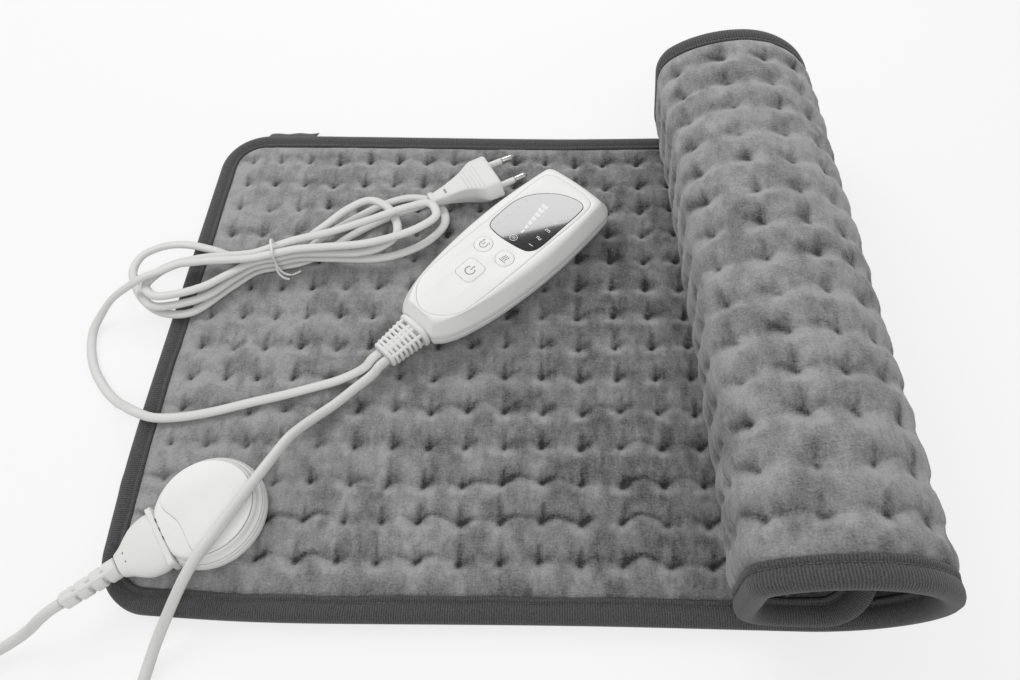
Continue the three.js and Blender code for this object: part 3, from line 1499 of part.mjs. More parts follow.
addMesh(cords, "lead_coil", loft(cordRings(coil, leadRadius, leadRadius)), softWhite);

const towardsCoil = new THREE.Vector3(0, -1, 0);
const coilEntry = coil[0].clone().addScaledVector(towardsCoil, -gap);
const leadRoute = [
  leadExit,
  leadExit.clone().addScaledVector(outOfBoot, leadDiameter),
  leadExit.clone().addScaledVector(outOfBoot, 2 * leadDiameter).setZ(leadExit.z - bootDrop),
  ...toPoints([[114.6, 114.8, 15.4], [105.3, 107.4, 13.7], [98.8, 99.8, 14.7], [92.8, 91, 17.2],
    [88.6, 81.4, 20.6], [84.4, 70.8, 23.6], [80.6, 62, 25.2], [77, 54.8, leadOnSocket],
    [73.4, 48, leadOnSocket], [68.7, 39, leadOnSocket], [63.9, 29.5, leadOnSocket], [60, 21.6, 25.9],
    [55.6, 13.2, 23.2], [51.2, 5.2, 18.6], [47, -2.4, 13.4], [43.4, -9.4, 8.8], [40.8, -16.4, 5.4],
    [39.4, -24, 3.6], [38.4, -30, leadOnTable], [35.6, -38, leadOnTable], [30, -47, leadOnTable],
    [24, -55, leadOnTable]]),
  coilEntry.clone().addScaledVector(towardsCoil, -leadDiameter),
  coilEntry,
];
const leadStep = 2 * leadDiameter;
const leadStretch = cordStretch(leadRoute, leadRadius, leadRadius, leadStep);
addMesh(cords, "controller_lead", leadStretch.geometry, softWhite);

const coilExit = coil[coil.length - 1].clone().addScaledVector(towardsCoil, -gap);
const returnRoute = [
  coilExit,
  coilExit.clone().addScaledVector(towardsCoil, -leadDiameter),
  ...toPoints([[-37.6, -54, 11.2], [-41.6, -45, 9], [-45.6, -36, 6], [-44.4, -27, 4.2], [-38, -20.6, 4],
    [-28.6, -15.6, 5.4], [-18.6, -9.6, 8.6]]),
  reliefExit.clone().addScaledVector(outOfRelief, 2 * leadDiameter).setZ(reliefExit.z - reliefDrop),
  reliefExit.clone().addScaledVector(outOfRelief, leadDiameter),
  reliefExit,
];
const returnStretch = cordStretch(returnRoute, leadRadius, leadRadius, leadStep);
addMesh(cords, "connector_lead", returnStretch.geometry, softWhite);
console.log(`lead ${(leadStretch.length + coilLength + returnStretch.length).toFixed(0)} mm in all`);

// The part's origin is the middle of its base, measured without the cords and what is on them
const onCord = (piece) => piece !== null && (piece === cords || piece === connector || onCord(piece.parent));
const settled = new THREE.Box3();
root.updateMatrixWorld(true);
root.traverse((piece) => {
  if (piece.isMesh && !onCord(piece)) {
    settled.expandByObject(piece, true);
  }
});
const middle = settled.getCenter(new THREE.Vector3());
root.position.set(-middle.x, -middle.y, 0);
const part = new THREE.Group();
part.add(root);

export default part;
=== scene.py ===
# Heating pad with controller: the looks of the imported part, in metres, in the part's own frame.
import math

import bmesh
import bpy
import numpy as np
from mathutils import Matrix, Quaternion, Vector


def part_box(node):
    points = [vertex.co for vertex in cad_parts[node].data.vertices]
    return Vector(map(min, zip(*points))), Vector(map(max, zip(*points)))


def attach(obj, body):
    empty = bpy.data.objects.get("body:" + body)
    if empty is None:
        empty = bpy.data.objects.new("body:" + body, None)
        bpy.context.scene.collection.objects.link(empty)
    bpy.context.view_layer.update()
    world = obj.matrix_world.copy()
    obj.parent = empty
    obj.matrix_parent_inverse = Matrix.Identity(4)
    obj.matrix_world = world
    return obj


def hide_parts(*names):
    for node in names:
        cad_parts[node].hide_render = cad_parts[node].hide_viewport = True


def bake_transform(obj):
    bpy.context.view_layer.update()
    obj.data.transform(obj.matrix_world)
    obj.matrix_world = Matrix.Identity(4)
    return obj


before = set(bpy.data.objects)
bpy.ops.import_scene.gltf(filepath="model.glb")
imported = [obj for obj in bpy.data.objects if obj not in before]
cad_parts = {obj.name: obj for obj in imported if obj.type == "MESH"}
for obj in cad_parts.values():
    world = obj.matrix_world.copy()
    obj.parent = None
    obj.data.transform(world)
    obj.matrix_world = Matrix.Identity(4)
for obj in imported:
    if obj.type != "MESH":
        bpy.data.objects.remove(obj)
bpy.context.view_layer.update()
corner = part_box("edge_binding")[0]
MM = 0.001


def at(x, y, z):
    """A point given in millimetres from the pad's front left corner, in the row frame."""
    return Vector((corner.x + x * MM, corner.y + y * MM, z * MM))


# Camera: the photograph's viewpoint
LENS = 25.28
CAMERA_PLACE = (219.47, -55.81, 343.22)
LOOK = Vector((-0.06089, 0.51435, -0.85542))
ROLL = math.radians(-5.64)
camera_data = bpy.data.cameras.new("camera")
camera_data.lens = LENS
camera_data.sensor_width = 36
camera_data.clip_start = 0.01
camera = bpy.data.objects.new("camera", camera_data)
camera.location = at(*CAMERA_PLACE)
camera.rotation_mode = "QUATERNION"
camera.rotation_quaternion = LOOK.to_track_quat("-Z", "Y") @ Quaternion((0, 0, 1), ROLL)
bpy.context.collection.objects.link(camera)
bpy.context.scene.camera = camera


# Materials
def linear(value):
    """A grey or an (r, g, b) on the 0 to 255 display scale, as linear colour with alpha."""
    rgb = (value,) * 3 if isinstance(value, (int, float)) else value
    parts = [c / 255 for c in rgb]
    return (*[c / 12.92 if c <= 0.04045 else ((c + 0.055) / 1.055) ** 2.4 for c in parts], 1.0)


class Shader:
    """A node material round one Principled shader. Most methods return a node's output, to feed the next."""

    def __init__(self, name, colour, rough, **inputs):
        self.material = bpy.data.materials.new(name)
        self.material.use_nodes = True
        self.tree = self.material.node_tree
        self.shader = self.tree.nodes["Principled BSDF"]
        self.feed(self.shader, Base_Color=linear(colour), Roughness=rough, **inputs)

    def put(self, socket, value):
        """Sets an input to a value, or links it to another node's output."""
        if isinstance(value, bpy.types.NodeSocket):
            self.tree.links.new(value, socket)
        else:
            socket.default_value = value

    def feed(self, node, **inputs):
        for key, value in inputs.items():
            self.put(node.inputs[key.replace("_", " ")], value)

    def node(self, kind, **inputs):
        made = self.tree.nodes.new(kind)
        self.feed(made, **inputs)
        return made

    def place(self, scale=(1, 1, 1)):
        """The place on the piece, stretched."""
        coords = self.node("ShaderNodeTexCoord").outputs["Object"]
        return self.node("ShaderNodeMapping", Vector=coords, Scale=scale).outputs["Vector"]

    def noise(self, scale, detail=2.0, stretch=(1, 1, 1), rough=0.5):
        made = self.node("ShaderNodeTexNoise", Vector=self.place(stretch), Scale=scale, Detail=detail,
                         Roughness=rough)
        return made.outputs["Fac"]

    def attribute(self, name):
        made = self.node("ShaderNodeAttribute")
        made.attribute_name = name
        return made.outputs["Fac"]

    def ramp(self, value, dark, light, low=0.3, high=0.7):
        made = self.node("ShaderNodeValToRGB", Fac=value)
        for element, position, colour in zip(made.color_ramp.elements, (low, high), (dark, light)):
            element.position = position
            element.color = linear(colour)
        return made.outputs["Color"]

    def maths(self, operation, *values):
        made = self.node("ShaderNodeMath")
        made.operation = operation
        for socket, value in zip(made.inputs, values):
            self.put(socket, value)
        return made.outputs[0]

    def bump(self, height, strength, distance, **after):
        """A bump, over another one where that is given as Normal."""
        return self.node("ShaderNodeBump", Height=height, Strength=strength, Distance=distance,
                         **after).outputs["Normal"]

    def finish(self, colour, normal):
        self.feed(self.shader, Base_Color=colour, Normal=normal)
        return self.material


def plastic(name, colour, rough, grain=0.05, soil=3):
    """Moulded plastic: a faint grain and slight unevenness of colour and gloss."""
    s = Shader(name, colour, rough)
    broad = s.noise(45, 3)
    tint = s.ramp(broad, [c - soil for c in colour], [c + 1 for c in colour])
    gloss = s.node("ShaderNodeMapRange", Value=broad, To_Min=rough * 0.88, To_Max=rough * 1.12)
    s.feed(s.shader, Roughness=gloss.outputs["Result"])
    return s.finish(tint, s.bump(s.noise(2600, 3), grain, 0.0002))


def metal(name, colour, rough):
    s = Shader(name, colour, rough, Metallic=1.0)
    tint = s.ramp(s.noise(90), [c * 0.92 for c in colour], colour)
    return s.finish(tint, s.bump(s.noise(1800, 2, (1, 9, 9)), 0.08, 0.0002))


def fleece_material(name, dark, light):
    """Plush: short pile brushed into lighter and darker patches, with painted light and shade from the mesh
    and a fine streaky speckle.
    """
    s = Shader(name, light, 0.92, Sheen_Weight=0.3, Sheen_Roughness=0.45, Specular_IOR_Level=0.12)
    patches = s.noise(70, 3, (1, 1.4, 1.4), 0.6)
    lengthwise = s.noise(560, 3, (0.75, 2.3, 1.5), 0.7)
    crosswise = s.noise(520, 3, (2.3, 0.7, 0.8), 0.7)
    specks = s.noise(1300, 2, (0.8, 1.3, 1.0), 0.7)
    streaks = s.maths("MULTIPLY_ADD", crosswise, 0.45, s.maths("MULTIPLY", lengthwise, 0.55))
    # The weighted sum starts below 0, so that its middle falls in the middle of the ramp
    total = -1.11
    # The mesh's values carry painted light and shade along with the pile's patches
    for source, weight in ((s.attribute("nap_and_shade"), 0.93), (patches, 0.42), (streaks, 1.1), (specks, 0.68)):
        total = s.maths("MULTIPLY_ADD", source, weight, total)
    pile = s.bump(streaks, 0.7, 0.0012)
    return s.finish(s.ramp(total, dark, light, 0.02, 0.98), s.bump(specks, 0.45, 0.0006, Normal=pile))


def knit_material(name, dark, light, rib_pitch):
    """Ribbed knit tape: ribs across its length, counted along the mesh's "run", with painted shade between
    them, and a fuzzy surface.
    """
    s = Shader(name, light, 0.9, Sheen_Weight=0.2, Sheen_Roughness=0.5, Specular_IOR_Level=0.15)
    angle = s.maths("MULTIPLY", s.attribute("run"), 2 * math.pi / rib_pitch)
    wave = s.maths("SINE", s.maths("MULTIPLY_ADD", s.noise(420, 3), 5.0, angle))
    share = s.maths("MULTIPLY_ADD", wave, 0.5, 0.5)
    fuzz = s.noise(1700, rough=0.7)
    # Painted shade between the ribs and painted light on their crests, over the fuzz's random tone
    total = s.maths("MULTIPLY_ADD", fuzz, 1.1, s.maths("MULTIPLY", share, 0.36))
    ribs = s.bump(share, 0.4, 0.0005)
    return s.finish(s.ramp(total, dark, light, 0.25, 1.15), s.bump(fuzz, 0.35, 0.0005, Normal=ribs))


def felt_material(name, dark, light):
    s = Shader(name, light, 0.95)
    tint = s.ramp(s.noise(900, 4, rough=0.7), dark, light)
    return s.finish(tint, s.bump(s.noise(1400), 0.4, 0.0004))


def board_material(name):
    s = Shader(name, (46, 104, 60), 0.45)
    tracks = s.node("ShaderNodeTexBrick", Vector=s.place(), Scale=160.0, Color1=linear((38, 92, 52)),
                    Color2=linear((48, 112, 62)), Mortar=linear((120, 140, 90)), Mortar_Size=0.03)
    return s.finish(tracks.outputs["Color"], s.bump(tracks.outputs["Fac"], 0.2, 0.0001))


def gloss_black(name):
    s = Shader(name, (10, 10, 11), 0.06, Coat_Weight=0.6, Coat_Roughness=0.03)
    tint = s.ramp(s.noise(30, 3), (9, 9, 10), (15, 15, 16))
    return s.finish(tint, s.bump(s.noise(14, 1), 0.02, 0.001))


FLEECE = fleece_material("plush_fleece", (58, 58, 58), (170, 170, 170))
KNIT = knit_material("ribbed_knit", (31, 31, 32), (94, 94, 95), 1.1 * MM)
THREAD = felt_material("dark_thread", (70, 70, 71), (112, 112, 112))
FELT = felt_material("heating_felt", (205, 203, 196), (225, 223, 216))
WHITE = plastic("white_plastic", (236, 236, 235), 0.36, 0.10)
SATIN = plastic("satin_white", (238, 238, 237), 0.42, 0.05)
SOFT = plastic("soft_white", (229, 229, 227), 0.5, 0.06)
CORD = plastic("cord_jacket", (218, 218, 216), 0.45, 0.08)
PLUG = plastic("plug_plastic", (222, 222, 221), 0.42, 0.10)
TIE = plastic("tie_plastic", (226, 226, 225), 0.4, 0.05)
SHEATH = plastic("wire_sheath", (190, 172, 146), 0.6, 0.05)
PRINT = plastic("grey_print", (120, 121, 123), 0.5, 0.02, 2)
WHITE_PRINT = plastic("white_print", (236, 236, 236), 0.45, 0.02, 2)
# Painted shade: a grey for thin lines and patches put where grooves, steps and slots fall into shade
SHADOW_LINE = plastic("painted_shadow_line", (150, 150, 150), 0.6, 0.02, 2)
# Dark plastic for the parts inside, and painted shade for the connector's slots
DARK = plastic("dark_plastic", (38, 38, 42), 0.45, 0.1)
BLACK = gloss_black("display_black")
BOARD = board_material("circuit_board")
NICKEL = metal("nickel", (205, 205, 203), 0.22)
BRASS = metal("brass", (196, 166, 96), 0.3)


# Meshes
def place(name, mesh, material, body="pad", smooth=True, slot=None, node=None):
    """The object of a mesh, on a body, with its material and the CAD node that it stands in for; the slot is
    not used.
    """
    mesh.materials.clear()
    mesh.materials.append(material)
    mesh.polygons.foreach_set("use_smooth", [smooth] * len(mesh.polygons))
    made = bpy.data.objects.new(name, mesh)
    bpy.context.collection.objects.link(made)
    if body:
        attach(made, body)
    if node:
        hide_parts(node)
    return made


def make(name, points, faces, material, **how):
    mesh = bpy.data.meshes.new(name)
    mesh.from_pydata([tuple(p) for p in points], [], [tuple(f) for f in faces])
    mesh.validate()
    mesh.update()
    return place(name, mesh, material, **how)


def join(name, parts, material, matrix=None, **how):
    """One object from several (points, faces) pairs, placed by a matrix where one is given."""
    points = []
    faces = []
    for part_points, part_faces in parts:
        start = len(points)
        points.extend(part_points if matrix is None else [matrix @ Vector(p) for p in part_points])
        faces.extend([tuple(start + i for i in face) for face in part_faces])
    return make(name, points, faces, material, **how)


def sharpen(made, degrees):
    """Smooth shading with crisp edges where faces meet at more than an angle."""
    made.data.set_sharp_from_angle(angle=math.radians(degrees))
    return made


def mould(name, parts, material, matrix, degrees, **how):
    """A moulded piece: its parts joined in a frame, crisp where they bend by more than an angle."""
    return sharpen(join(name, parts, material, matrix, **how), degrees)


def paint(made, name, values):
    """A value for each point of a mesh, for its material to read."""
    attribute = made.data.attributes.new(name, "FLOAT", "POINT")
    attribute.data.foreach_set("value", np.asarray(values, np.float32))


def lofted(rings, looped=False):
    """Points and faces of a body through rings, with caps or joined end to end."""
    sides = len(rings[0])
    points = [p for ring in rings for p in ring]
    faces = []
    for i in range(len(rings) if looped else len(rings) - 1):
        a, b = i * sides, ((i + 1) % len(rings)) * sides
        for j in range(sides):
            k = (j + 1) % sides
            faces.append((a + j, a + k, b + k, b + j))
    if not looped:
        last = (len(rings) - 1) * sides
        faces.append(tuple(reversed(range(sides))))
        faces.append(tuple(last + j for j in range(sides)))
    return points, faces


def local(x, y, z, angle):
    """From millimetres in a piece's own frame to the row frame."""
    return Matrix.Translation(at(x, y, z)) @ Matrix.Rotation(angle, 4, "Z") @ Matrix.Scale(MM, 4)


def turns(count):
    """Cosines and sines of evenly spaced angles round a full turn."""
    return [(math.cos(2 * math.pi * i / count), math.sin(2 * math.pi * i / count)) for i in range(count)]


def catmull(places, per_segment, closed=False):
    """Centripetal Catmull-Rom points through places, evenly spaced in each segment's own parameter."""
    pts = np.array([tuple(p) for p in places], float)
    count = len(pts)
    out = []
    spans = count if closed else count - 1
    for i in range(spans):
        p1, p2 = pts[i], pts[(i + 1) % count]
        p0 = pts[i - 1] if closed or i > 0 else 2 * p1 - p2
        p3 = pts[(i + 2) % count] if closed or i + 2 < count else 2 * p2 - p1
        d0, d1, d2 = (max(np.sum((b - a) ** 2) ** 0.25, 1e-6) for a, b in ((p0, p1), (p1, p2), (p2, p3)))
        t1 = ((p1 - p0) / d0 - (p2 - p0) / (d0 + d1) + (p2 - p1) / d1) * d1
        t2 = ((p2 - p1) / d1 - (p3 - p1) / (d1 + d2) + (p3 - p2) / d2) * d1
        c2 = -3 * p1 + 3 * p2 - 2 * t1 - t2
        c3 = 2 * p1 - 2 * p2 + t1 + t2
        for t in np.arange(per_segment) / per_segment:
            out.append(p1 + t1 * t + c2 * t * t + c3 * t ** 3)
    if not closed:
        out.append(pts[-1])
    return np.array(out)


def curve2(points, per_segment, closed=False):
    """A smooth outline through places in a plane."""
    return [tuple(p) for p in catmull(points, per_segment, closed)]


def evenly(line, step):
    """The same line with points a fixed distance apart, and its length."""
    runs = np.concatenate([[0], np.cumsum(np.linalg.norm(np.diff(line, axis=0), axis=1))])
    count = max(int(round(runs[-1] / step)), 2)
    wanted = np.linspace(0, runs[-1], count + 1)
    return np.stack([np.interp(wanted, runs, line[:, i]) for i in range(line.shape[1])], axis=1), runs[-1]


CORD_SIDES = 16
WAIST_SHARE = 0.3


def tube_rings(line, half_width, half_height, waist):
    """Rings of an oval section along a line, level across. A waist thins the section in its middle."""
    line = np.array(line, float)
    rings = []
    count = len(line)
    for i, p in enumerate(line):
        direction = line[min(i + 1, count - 1)] - line[max(i - 1, 0)]
        direction /= np.linalg.norm(direction)
        across = np.cross((0, 0, 1), direction)
        across /= np.linalg.norm(across)
        rise = np.cross(direction, across)
        rings.append([p + across * half_width * c
                      + rise * half_height * t * (1 - waist * math.exp(-((c / WAIST_SHARE) ** 2)))
                      for c, t in turns(CORD_SIDES)])
    return rings


def tie_rings(line, half_width, half_height, sides):
    """Rings along any line, their wide side kept along the first frame's X."""
    rings = []
    count = len(line)
    for i, p in enumerate(line):
        direction = line[min(i + 1, count - 1)] - line[max(i - 1, 0)]
        direction /= np.linalg.norm(direction)
        across = np.array((1.0, 0, 0)) - direction * direction[0]
        if np.linalg.norm(across) < 0.2:
            across = np.cross(direction, (0, 0, 1.0))
        across /= np.linalg.norm(across)
        rise = np.cross(direction, across)
        rings.append([tuple(p + across * half_width * c + rise * half_height * t) for c, t in turns(sides)])
    return rings


# Frames of the rigid pieces
PAD_THICKNESS = 10.4
GAP = 0.3
handset = local(146.5, 146.25, PAD_THICKNESS + GAP, math.radians(47))
socket = local(55.5, 45.4, PAD_THICKNESS + GAP, math.radians(217.5))
PLUG_THICKNESS = 13.7
plug = local(144.5, 237.7, PAD_THICKNESS + GAP + PLUG_THICKNESS / 2, math.radians(28.5))


def in_pad(matrix, x, y, z):
    """A point of a piece's frame, in millimetres from the pad's corner, on the table."""
    place = matrix @ Vector((x, y, z))
    p = (place - corner) / MM
    return np.array((p.x, p.y, place.z / MM))


def heading(matrix, x):
    return np.array((matrix.to_3x3() @ Vector((x, 0, 0))).normalized())


# Cords
MAINS_WIDTH = 5.2
MAINS_THICKNESS = 3.2
MAINS_WAIST = 0.10
LEAD_DIAMETER = 5.2
CORD_SPARE = 0.9
BOOT_END = -23.8
NECK_Z = 9
CORDS_APART = 3.2
RELIEF_END = 71.4
RELIEF_Z = 6
mains_exit = in_pad(handset, BOOT_END - GAP, CORDS_APART, NECK_Z)
lead_exit = in_pad(handset, BOOT_END - GAP, -CORDS_APART, NECK_Z)
out_of_boot = heading(handset, -1)
plug_entry = in_pad(plug, -GAP, 0, 0)
into_plug = heading(plug, 1)
relief_exit = in_pad(socket, RELIEF_END + GAP, 0, RELIEF_Z)
out_of_relief = heading(socket, 1)

# The hank: loops at both ends of a narrow waist, where its strands cross in two columns, one level per turn
LEVEL_PITCH = MAINS_THICKNESS + CORD_SPARE
HANK_BASE = PAD_THICKNESS + GAP + MAINS_THICKNESS / 2
WAIST = (58, 196.5)
WAIST_TILT = math.radians(14)
COLUMN_HALF = MAINS_WIDTH / 2 + CORD_SPARE
CLIMB_RUN = 13
LEFT_SAG = 4.5
RIGHT_LOOPS = [
    [(90, 198), (110, 200), (126, 204.6), (141, 211.6), (150.6, 221), (146, 230), (132, 227), (112, 218),
     (90, 209)],
    [(90, 196.6), (106, 196.6), (119, 200.4), (127.5, 209.6), (126, 221), (118.5, 232), (108, 236.5),
     (96, 230), (83, 216)],
    [(90, 196), (119.5, 196), (138, 203), (148.5, 213), (154, 225.4), (151.4, 236.4), (144, 243),
     (131, 245.6), (116, 241), (98, 229), (83, 214.6)],
]
LEFT_LOOPS = [
    [(30, 195), (13, 193), (0, 188.6), (-9, 182), (-13.5, 174.5), (-6, 167), (8, 168.4), (22, 173.6),
     (34, 182)],
    [(30, 196.4), (12, 196), (-4, 192), (-14, 185), (-18, 174), (-8, 163), (8, 164), (24, 170.6),
     (35, 181.4)],
    [(32, 199.4), (14, 206), (-4, 210), (-18, 209.6), (-30, 204), (-32.5, 194), (-27.5, 183), (-17, 170),
     (-2, 160.6), (14, 161), (33, 178.6)],
]
HANK_START = (16, 187.6)


def ease(t):
    c = min(max(t, 0), 1)
    return c * c * (3 - 2 * c)


def at_height(z, *places):
    return [(x, y, z) for x, y in places]


def leaving(place, direction, width, drop):
    """A cord's first places, straight out of its exit, the last one a little lower."""
    return [place, place + direction * width, place + direction * 2 * width - (0, 0, drop)]


def level(n):
    return HANK_BASE + n * LEVEL_PITCH


def waist_points(way, low, high):
    """Through the waist, from a level to another: rightwards in the front column, or back in the other."""
    off = -COLUMN_HALF * way
    out = []
    for share in (-1, 0, 1):
        run = share * CLIMB_RUN * way
        out.append((WAIST[0] + run * math.cos(WAIST_TILT) - off * math.sin(WAIST_TILT),
                    WAIST[1] + run * math.sin(WAIST_TILT) + off * math.cos(WAIST_TILT),
                    level(low + (high - low) * (share + 1) / 2)))
    return out


def hank_places():
    top = len(RIGHT_LOOPS)
    out = [(*HANK_START, level(top)),
           (HANK_START[0] + MAINS_WIDTH, HANK_START[1] + MAINS_WIDTH / 8, level(top))]
    for i in range(top):
        here = top - i
        last = i == top - 1
        out += waist_points(1, here, here)
        for x, y in RIGHT_LOOPS[i]:
            out.append((x, y, level(here - (ease((y - 196) / 34) if last else 0))))
        out += waist_points(-1, here - 1 if last else here, here - 1)
        for x, y in LEFT_LOOPS[i]:
            out.append((x, y, level(here - 1) - LEFT_SAG * ease(-x / 44)))
    out += waist_points(1, 0, 0)
    out += at_height(HANK_BASE, (84, 203.6), (100, 217.6), (118, 229.4))
    return out + [plug_entry - into_plug * run for run in (2 * MAINS_WIDTH, MAINS_WIDTH, 0)]


hank = hank_places()
into_hank = np.subtract(hank[1], hank[0])
into_hank /= np.linalg.norm(into_hank)
TABLE_Z = MAINS_THICKNESS / 2 + GAP
mains_route = [
    *leaving(mains_exit, out_of_boot, MAINS_WIDTH, 2), (107.8, 118.2, 13.4),
    *at_height(HANK_BASE, (91.8, 113.3), (76, 108.5), (60.3, 104.3), (44.8, 99.8), (32.7, 97), (20.8, 95.4),
               (10, 95.6), (0, 98.8)),
    (-8, 103, 9.6), (-16, 107.6, 5.6), (-27, 116.4, 2.6), *at_height(TABLE_Z, (-38.6, 130.2), (-45.6, 145.4)),
    (-47, 156, TABLE_Z + 1), (-43.4, 164.6, 6), (-35.6, 169.4, 13), (-25, 172.6, 19.6), (-14.6, 176.6, 23.8),
    (-4.6, 180.8, 24.6), hank[0] - into_hank * 2 * MAINS_WIDTH, hank[0] - into_hank * MAINS_WIDTH,
]
SOCKET_HEIGHT = 12
LEAD_RADIUS = LEAD_DIAMETER / 2
LEAD_ON_PAD = PAD_THICKNESS + GAP + LEAD_RADIUS
LEAD_ON_SOCKET = PAD_THICKNESS + GAP + SOCKET_HEIGHT + GAP + LEAD_RADIUS
LEAD_ON_TABLE = LEAD_RADIUS + GAP
COIL = (-8, -70)
COIL_RADIUS = 28.5
COIL_TURNS = 1.5
COIL_STEPS = 24
COIL_PITCH = LEAD_DIAMETER + 0.6


def beside(place):
    """The place one lead's width further back."""
    return place[0], place[1] + LEAD_DIAMETER, place[2]


coil = []
for i in range(int(COIL_STEPS * COIL_TURNS) + 1):
    angle = -2 * math.pi * i / COIL_STEPS
    coil.append((COIL[0] + COIL_RADIUS * math.cos(angle), COIL[1] + COIL_RADIUS * math.sin(angle),
                 LEAD_ON_TABLE + COIL_PITCH * i / COIL_STEPS))
coil = [beside(coil[0]), *coil, beside(coil[-1])]
lead_route = [
    *leaving(lead_exit, out_of_boot, LEAD_DIAMETER, 2),
    (116.2, 111.2, 15.8), (106.9, 103.6, LEAD_ON_PAD + 0.4), (99.3, 96.6, LEAD_ON_PAD + 1.2),
    (93.2, 89.4, 17.0), (88.6, 81.4, 20.6), (84.4, 70.8, 23.6), (80.6, 62, 25.2),
    *at_height(LEAD_ON_SOCKET, (77, 54.8), (73.4, 48), (68.7, 39), (63.9, 29.5)),
    (60, 21.6, 25.9), (55.6, 13.2, 23.2), (51.2, 5.2, 18.6), (47, -2.4, 13.4), (43.4, -9.4, 8.8),
    (40.8, -16.4, 5.4), (39.4, -24, 3.6),
    *at_height(LEAD_ON_TABLE, (38.4, -30), (35.6, -38), (30, -47), (24, -55)),
]
return_route = [
    coil[-1], beside(coil[-1]),
    (-37.6, -54, 11.2), (-41.6, -45, 9), (-45.6, -36, 6), (-44.4, -27, 4.2), (-38, -20.6, 4),
    (-28.6, -15.6, 5.4), (-18.6, -9.6, 8.6),
    *reversed(leaving(relief_exit, out_of_relief, LEAD_DIAMETER, 1.4)),
]


CORD_STEP = 1.3


def cord(name, places, half_width, half_height, waist=0.0):
    """A cord's tube, the line that it follows in metres, and its length in metres."""
    line, length = evenly(catmull(places, 24), CORD_STEP)
    metres = [tuple(at(*p)) for p in line]
    rings = tube_rings(metres, half_width * MM, half_height * MM, waist)
    return make(name, *lofted(rings), CORD, body=None, slot="cord"), metres, length * MM


mains, mains_line, mains_length = cord("mains_cord_run", mains_route + hank, MAINS_WIDTH / 2,
                                       MAINS_THICKNESS / 2, MAINS_WAIST)
lead, lead_line, lead_length = cord("controller_lead_run", lead_route + coil, LEAD_RADIUS, LEAD_RADIUS)
back, back_line, back_length = cord("connector_lead_run", return_route, LEAD_RADIUS, LEAD_RADIUS)
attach(mains, "pad")
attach(lead, "pad")
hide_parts("mains_cord", "mains_hank")
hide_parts("controller_lead", "lead_coil")
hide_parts("connector_lead")


# Pad: its path, rolled up at the right, and points on it
PAD_LENGTH = 600
PAD_WIDTH = 300
FLAT_RUN = 324.5
RING_RADIUS = 41
SHOULDER_RADIUS = 13.3
FOOT_RADIUS = 18
MIDDLE = PAD_THICKNESS / 2
LAYER_PITCH = PAD_THICKNESS + 0.6
RING_TURN = math.radians(222)
SHOULDER_TURN = math.radians(53)
ROLL_SKEW = 2.6
SKEW_START = 200


def advance(x, z, h, length, radius):
    if radius is None:
        return x + length * np.cos(h), z + length * np.sin(h), h
    turned = h + length / radius
    return x + radius * (np.sin(turned) - np.sin(h)), z - radius * (np.cos(turned) - np.cos(h)), turned


WALL_HEADING = RING_TURN + SHOULDER_TURN
FOOT_TURN = 2 * math.pi - WALL_HEADING
path = [(FLAT_RUN, None), (RING_TURN * RING_RADIUS, RING_RADIUS),
        (SHOULDER_TURN * SHOULDER_RADIUS, SHOULDER_RADIUS)]
state = (0.0, float(MIDDLE), 0.0)
for run, bend in path:
    state = advance(*state, run, bend)
wall_drop = state[1] - FOOT_RADIUS * (1 - math.cos(FOOT_TURN)) - MIDDLE - LAYER_PITCH
wall_length = wall_drop / -math.sin(WALL_HEADING)
foot_end = state[0] + wall_length * math.cos(WALL_HEADING) - FOOT_RADIUS * math.sin(WALL_HEADING)
path += [(wall_length, None), (FOOT_TURN * FOOT_RADIUS, FOOT_RADIUS), (FLAT_RUN - foot_end, None),
         (PAD_LENGTH, RING_RADIUS - LAYER_PITCH)]


# How the pad as photographed leaves its plain path: a looser, lower roll towards its back, the flat part's
# outline pulled out at the back left corner and along the front, and the front left corner pushed in
ROLL_LOOSE = 7.0
ROLL_EASE = 30
ROLL_SAG = 0.05
PULL_REACH = 270
PULL_BACK = 7.6
PULL_FRONT = 3.6
PUSH_REACH = (62, 56)
PUSH = (4.4, 3.6)


def ridge(x, wide):
    """A smooth ridge, 1 in its middle."""
    return np.exp(-(x / wide) ** 2)


def bell(x, y, wide, long):
    return np.exp(-(x / wide) ** 2 - (y / long) ** 2)


def on_pad(s, y, n):
    """Points of the pad in metres, from places along and across it and heights over its middle surface."""
    s, y, n = np.broadcast_arrays(*(np.asarray(v, float) for v in (s, y, n)))
    x, z, h, left = np.zeros_like(s), np.full_like(s, MIDDLE), np.zeros_like(s), s.copy()
    for run, bend in path:
        x, z, h = advance(x, z, h, np.clip(left, 0, run), bend)
        left = left - run
    askew = np.clip((s - SKEW_START) / (FLAT_RUN - SKEW_START), 0, 1)
    x = x + ROLL_SKEW * askew * (1 - 2 * y / PAD_WIDTH)
    backwards = np.clip(y / PAD_WIDTH, 0, 1) ** 2
    x = x - ROLL_LOOSE * backwards * np.clip((FLAT_RUN - x) / ROLL_EASE, 0, 1) * (s > FLAT_RUN)
    z = MIDDLE + (z - MIDDLE) * (1 - ROLL_SAG * backwards)
    t = np.clip(1 - s / PULL_REACH, 0, 1)
    pull_back, pull_front = (np.clip(share, 0, 1.1) ** 2 for share in (y / PAD_WIDTH, 1 - y / PAD_WIDTH))
    y = y + t * t * (3 - 2 * t) * (PULL_BACK * pull_back - PULL_FRONT * pull_front)
    near = bell(s, y, *PUSH_REACH)
    x, y = x + PUSH[0] * near, y + PUSH[1] * near
    out = np.stack([x - n * np.sin(h), y, z + n * np.cos(h)], axis=-1) * MM
    return out + np.array((corner.x, corner.y, 0))


